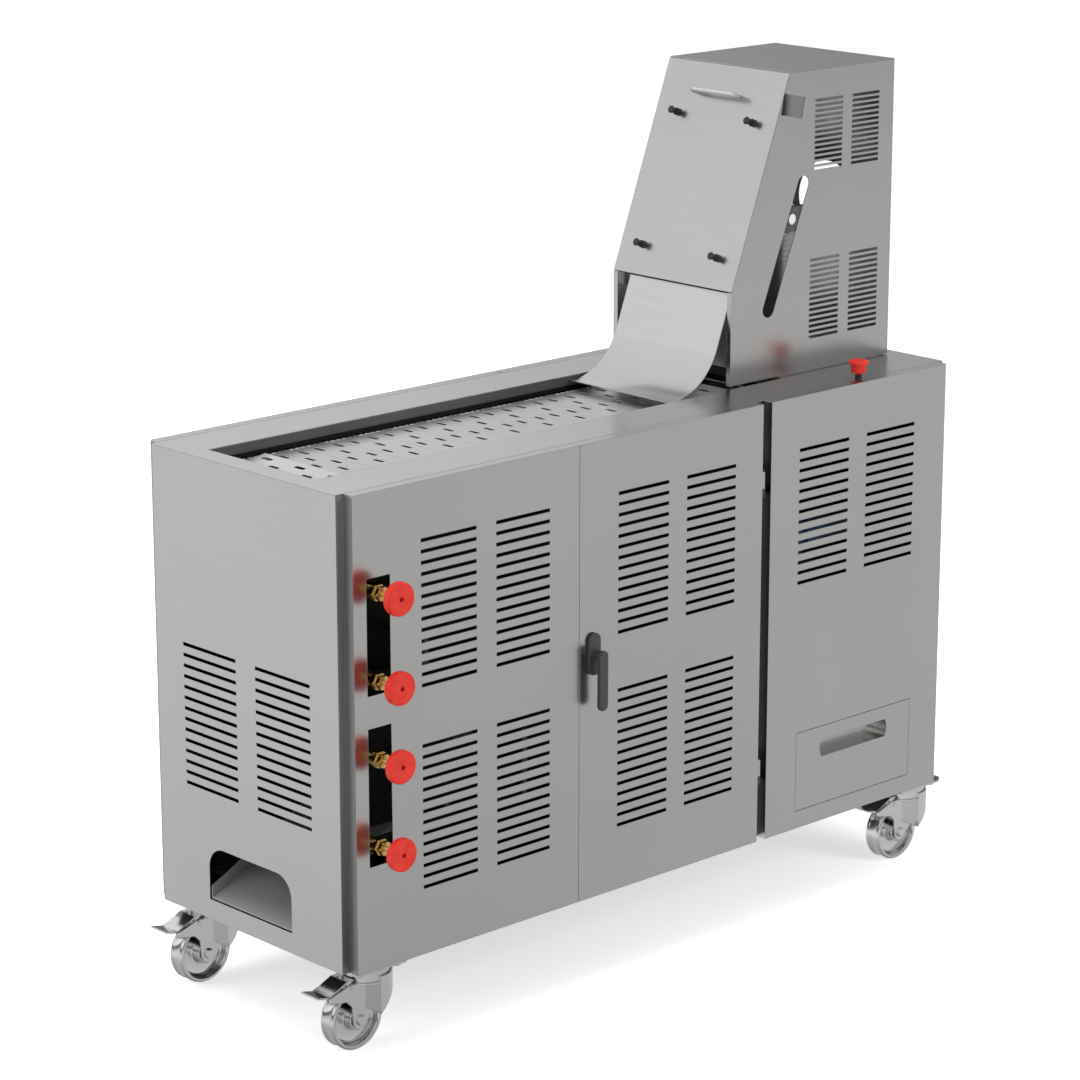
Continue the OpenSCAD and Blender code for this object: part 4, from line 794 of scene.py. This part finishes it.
def capsule(w, h, shift=0.0, steps=16):
    """Outline of an upright capsule w wide and h high, moved up by shift."""
    r = w / 2
    upper = arc(0, h / 2 - r, r, 0, 180, steps)
    lower = arc(0, r - h / 2, r, 180, 360, steps)
    return np.concatenate([upper, lower]) + [0, shift]


LEVER_IN, LEVER_OUT, NECK_IN, NECK_OUT, NECK_R = 20.0, 28.0, 24.4, -20.5, 8
CAM_BACK, CAM_FRONT = -24.5, -21.5
backplate = flat(capsule(27, 73), 0.1, 6.0, 1.4, HANDLE, X_AXIS, Z_AXIS)
piece("handle_plate", [backplate], [handle_paint], "service_door",
      ("handle_backplate",))
lever = flat(capsule(20, 104, -42.0), LEVER_IN, LEVER_OUT, 2.2, HANDLE, X_AXIS, Z_AXIS)
neck = turned([[0, NECK_OUT], [NECK_R, NECK_OUT], [NECK_R, NECK_IN], [0, NECK_IN]],
              HANDLE, (0, 1, 0), 0, 32)
cam = flat(rounded_box_outline(14, 34, 2.0) + [0, 17], CAM_BACK, CAM_FRONT, 0.5, HANDLE,
           X_AXIS, Z_AXIS)
piece("lever_handle", [lever, neck, cam], [handle_paint], "lever",
      ("handle_lever",))

# %% [markdown]
# ## Castor wheels
# The wheels are all metal, with a wide tread, a lip at each side and a dished
# web down to the hub. The profile is turned round the axle, which trails
# behind the swivel and stands half a wheel above the floor.

# %% Castor wheels
CASTORS = [(77.0, 56.0), (1385.0, 56.0), (77.0, 452.0), (1385.0, 452.0)]
TRAIL, AXLE_Z = 31.0, 53.5 + CORNER[2]


def wheel_profile():
    """Closed rows (radius, across): hollowed tread, rolled lips, deep dish and hub, bore."""
    right = np.concatenate([
        [[51.0, 0.0], [51.2, 4.0], [51.8, 7.0]], arc(48.7, 11.2, 4.8, -35, 180, 16),
        [[43.6, 7.0]], arc(39.8, 6.4, 3.8, 0, -90, 6),
        [[24.0, 2.6]], arc(22.0, 5.6, 3.0, -90, -180, 5), [[18.6, 17.2]],
        arc(17.1, 17.4, 1.5, 0, 90, 4), [[5.05, 18.9], [5.05, 0.0]]])
    left = right[::-1] * [1, -1]
    return np.concatenate([right, left[1:]])


for k, (x, y) in enumerate(CASTORS):
    wheel = f"castor_wheel_{k + 1}"
    piece(f"{wheel}_turned",
          [turned(wheel_profile(), (x - TRAIL, y, AXLE_Z), (0, 1, 0), 0, 72)],
          [castor_steel], wheel, (wheel,))

# %% [markdown]
# ## Floor
# The photo shows the machine on plain white. A pale floor gives that, a little
# brighter to the camera than the lamps make it, so that it runs into the white
# behind it and the machine's shadow still shows. The floor doesn't show in
# metal, which mirrors the world instead.

# %% Floor
FLOOR_BOOST, FLOOR_HALF = 0.57, 24.0
floor_material, tree, shader = new_material("floor_paint")
shader.inputs["Roughness"].default_value = 0.9
grainy = stretched_noise(tree, 8.0, (1, 1, 1))
tree.links.new(tint(tree, grainy.outputs["Fac"], (0.80, 0.80, 0.80), (0.82, 0.82, 0.82)),
               shader.inputs["Base Color"])
light_path = tree.nodes.new("ShaderNodeLightPath")
shader.inputs["Emission Color"].default_value = (1, 1, 1, 1)
boost = tree.nodes.new("ShaderNodeMath")
boost.operation = "MULTIPLY"
boost.inputs[1].default_value = FLOOR_BOOST
tree.links.new(light_path.outputs["Is Camera Ray"], boost.inputs[0])
tree.links.new(boost.outputs["Value"], shader.inputs["Emission Strength"])
corners = np.array([[-1, -1, 0], [1, -1, 0], [1, 1, 0], [-1, 1, 0]]) * FLOOR_HALF
floor_mesh = bpy.data.meshes.new("floor")
floor_mesh.from_pydata(corners.tolist(), [], [[0, 1, 2, 3]])
floor_mesh.materials.append(floor_material)
floor = bpy.data.objects.new("floor", floor_mesh)
floor.visible_glossy = False
bpy.context.scene.collection.objects.link(floor)
print("floor of", 2 * FLOOR_HALF, "m")

# %% [markdown]
# ## World
# Steel has little colour of its own: it shows what stands around it. The world
# is white to the camera and a plain grey to matt surfaces. Glossy rays see a
# studio instead: bands of light and dark by the height of the direction, from
# a grey below, through a dark strip just above the horizon, to soft white over
# it. To the right the upper bands fall off, as away from a window.

# %% World
AMBIENT = 0.55
LEVELS = [(-1.0, 0.30), (-0.45, 0.49), (-0.30, 0.73), (-0.18, 0.77), (-0.02, 0.45), (0.05, 0.10),
          (0.16, 0.08), (0.2, 0.5), (0.232, 1.02), (0.31, 1.0), (0.42, 0.82), (1.0, 0.85)]
TILT = (-0.095, 0.102)  # bands gain a little towards the left and the back
RIGHT = (1.6, 1.5)  # how fast they fall off towards the right and the front
FALL_START, FALL_LOW, FALL_HIGH = 0.9, 0.6, 1.0
world = bpy.data.worlds.new("studio")
bpy.context.scene.world = world
world.use_nodes = True
tree = world.node_tree
background = tree.nodes["Background"]
seen = tree.nodes.new("ShaderNodeLightPath")
direction = tree.nodes.new("ShaderNodeTexCoord")
axes = tree.nodes.new("ShaderNodeSeparateXYZ")
tree.links.new(direction.outputs["Generated"], axes.inputs[0])


def math_node(operation, first, second):
    """A Math node over two sockets or numbers; gives its output."""
    node = tree.nodes.new("ShaderNodeMath")
    node.operation = operation
    for socket, value in zip(node.inputs, (first, second)):
        if isinstance(value, (int, float)):
            socket.default_value = value
        else:
            tree.links.new(value, socket)
    return node.outputs["Value"]


height = tree.nodes.new("ShaderNodeMapRange")
height.inputs["From Min"].default_value = -1.0
tree.links.new(axes.outputs["Z"], height.inputs["Value"])
bands = tree.nodes.new("ShaderNodeValToRGB")
steps = bands.color_ramp.elements
for z, value in LEVELS[1:-1]:
    steps.new((z + 1) / 2).color = (value, value, value, 1)
steps[0].color = (LEVELS[0][1],) * 3 + (1,)
steps[len(steps) - 1].color = (LEVELS[-1][1],) * 3 + (1,)
tree.links.new(height.outputs["Result"], bands.inputs["Fac"])
across = math_node("ADD", math_node("MULTIPLY", axes.outputs["X"], TILT[0]),
                   math_node("MULTIPLY", axes.outputs["Y"], TILT[1]))
right = math_node("SUBTRACT", math_node("MULTIPLY", axes.outputs["X"], RIGHT[0]),
                  math_node("MULTIPLY", axes.outputs["Y"], RIGHT[1]))
falloff = math_node("MAXIMUM", math_node("SUBTRACT", FALL_START, right), FALL_LOW)
falloff = math_node("MINIMUM", falloff, FALL_HIGH)
above = math_node("GREATER_THAN", axes.outputs["Z"], 0.0)
darker = math_node("MULTIPLY", above, math_node("SUBTRACT", falloff, 1.0))
reflected = math_node("MULTIPLY", bands.outputs["Color"], math_node("ADD", across, 1.0))
reflected = math_node("MULTIPLY", reflected, math_node("ADD", darker, 1.0))
glossy = math_node("MULTIPLY", seen.outputs["Is Glossy Ray"],
                   math_node("SUBTRACT", reflected, AMBIENT))
white = math_node("MULTIPLY", seen.outputs["Is Camera Ray"], 1 - AMBIENT)
level = math_node("ADD", math_node("ADD", glossy, white), AMBIENT)
background.inputs["Color"].default_value = (1, 1, 1, 1)
tree.links.new(level, background.inputs["Strength"])
print("bands of light:", len(steps))

# %% [markdown]
# ## Lamps
# Three large soft lamps hang above, to the left and in front, and the left one
# is the weakest. They don't show in metal, where the world's bands stand for
# them, so they light the plastic, the paint and the floor.

# %% Lamps
def lamp(name, location, target, size, power):
    """A square area lamp that looks from location to target, in metres and watts."""
    data = bpy.data.lights.new(name, "AREA")
    data.shape = "SQUARE"
    data.size = size
    data.energy = power
    thing = bpy.data.objects.new(name, data)
    thing.visible_glossy = False
    thing.location = location
    away = np.array(location, float) - np.array(target, float)
    flat_reach = math.hypot(away[0], away[1])
    thing.rotation_euler = (math.atan2(flat_reach, away[2]), 0, math.atan2(away[0], -away[1]))
    bpy.context.scene.collection.objects.link(thing)


lamp("lamp_over", (-0.6, 0.6, 4.2), (0, 0, 0.6), 3.2, 120)
lamp("lamp_left", (-4.5, 1.8, 2.6), (-0.4, 0, 0.5), 2.4, 75)
lamp("lamp_front", (1.8, -4.6, 2.4), (0, 0, 0.6), 2.4, 110)

# %% [markdown]
# ## Colour view
# The Standard view shows a colour as it was written. Nothing here may make the
# machine larger.

# %% Colour view
bpy.context.scene.view_settings.view_transform = "Standard"
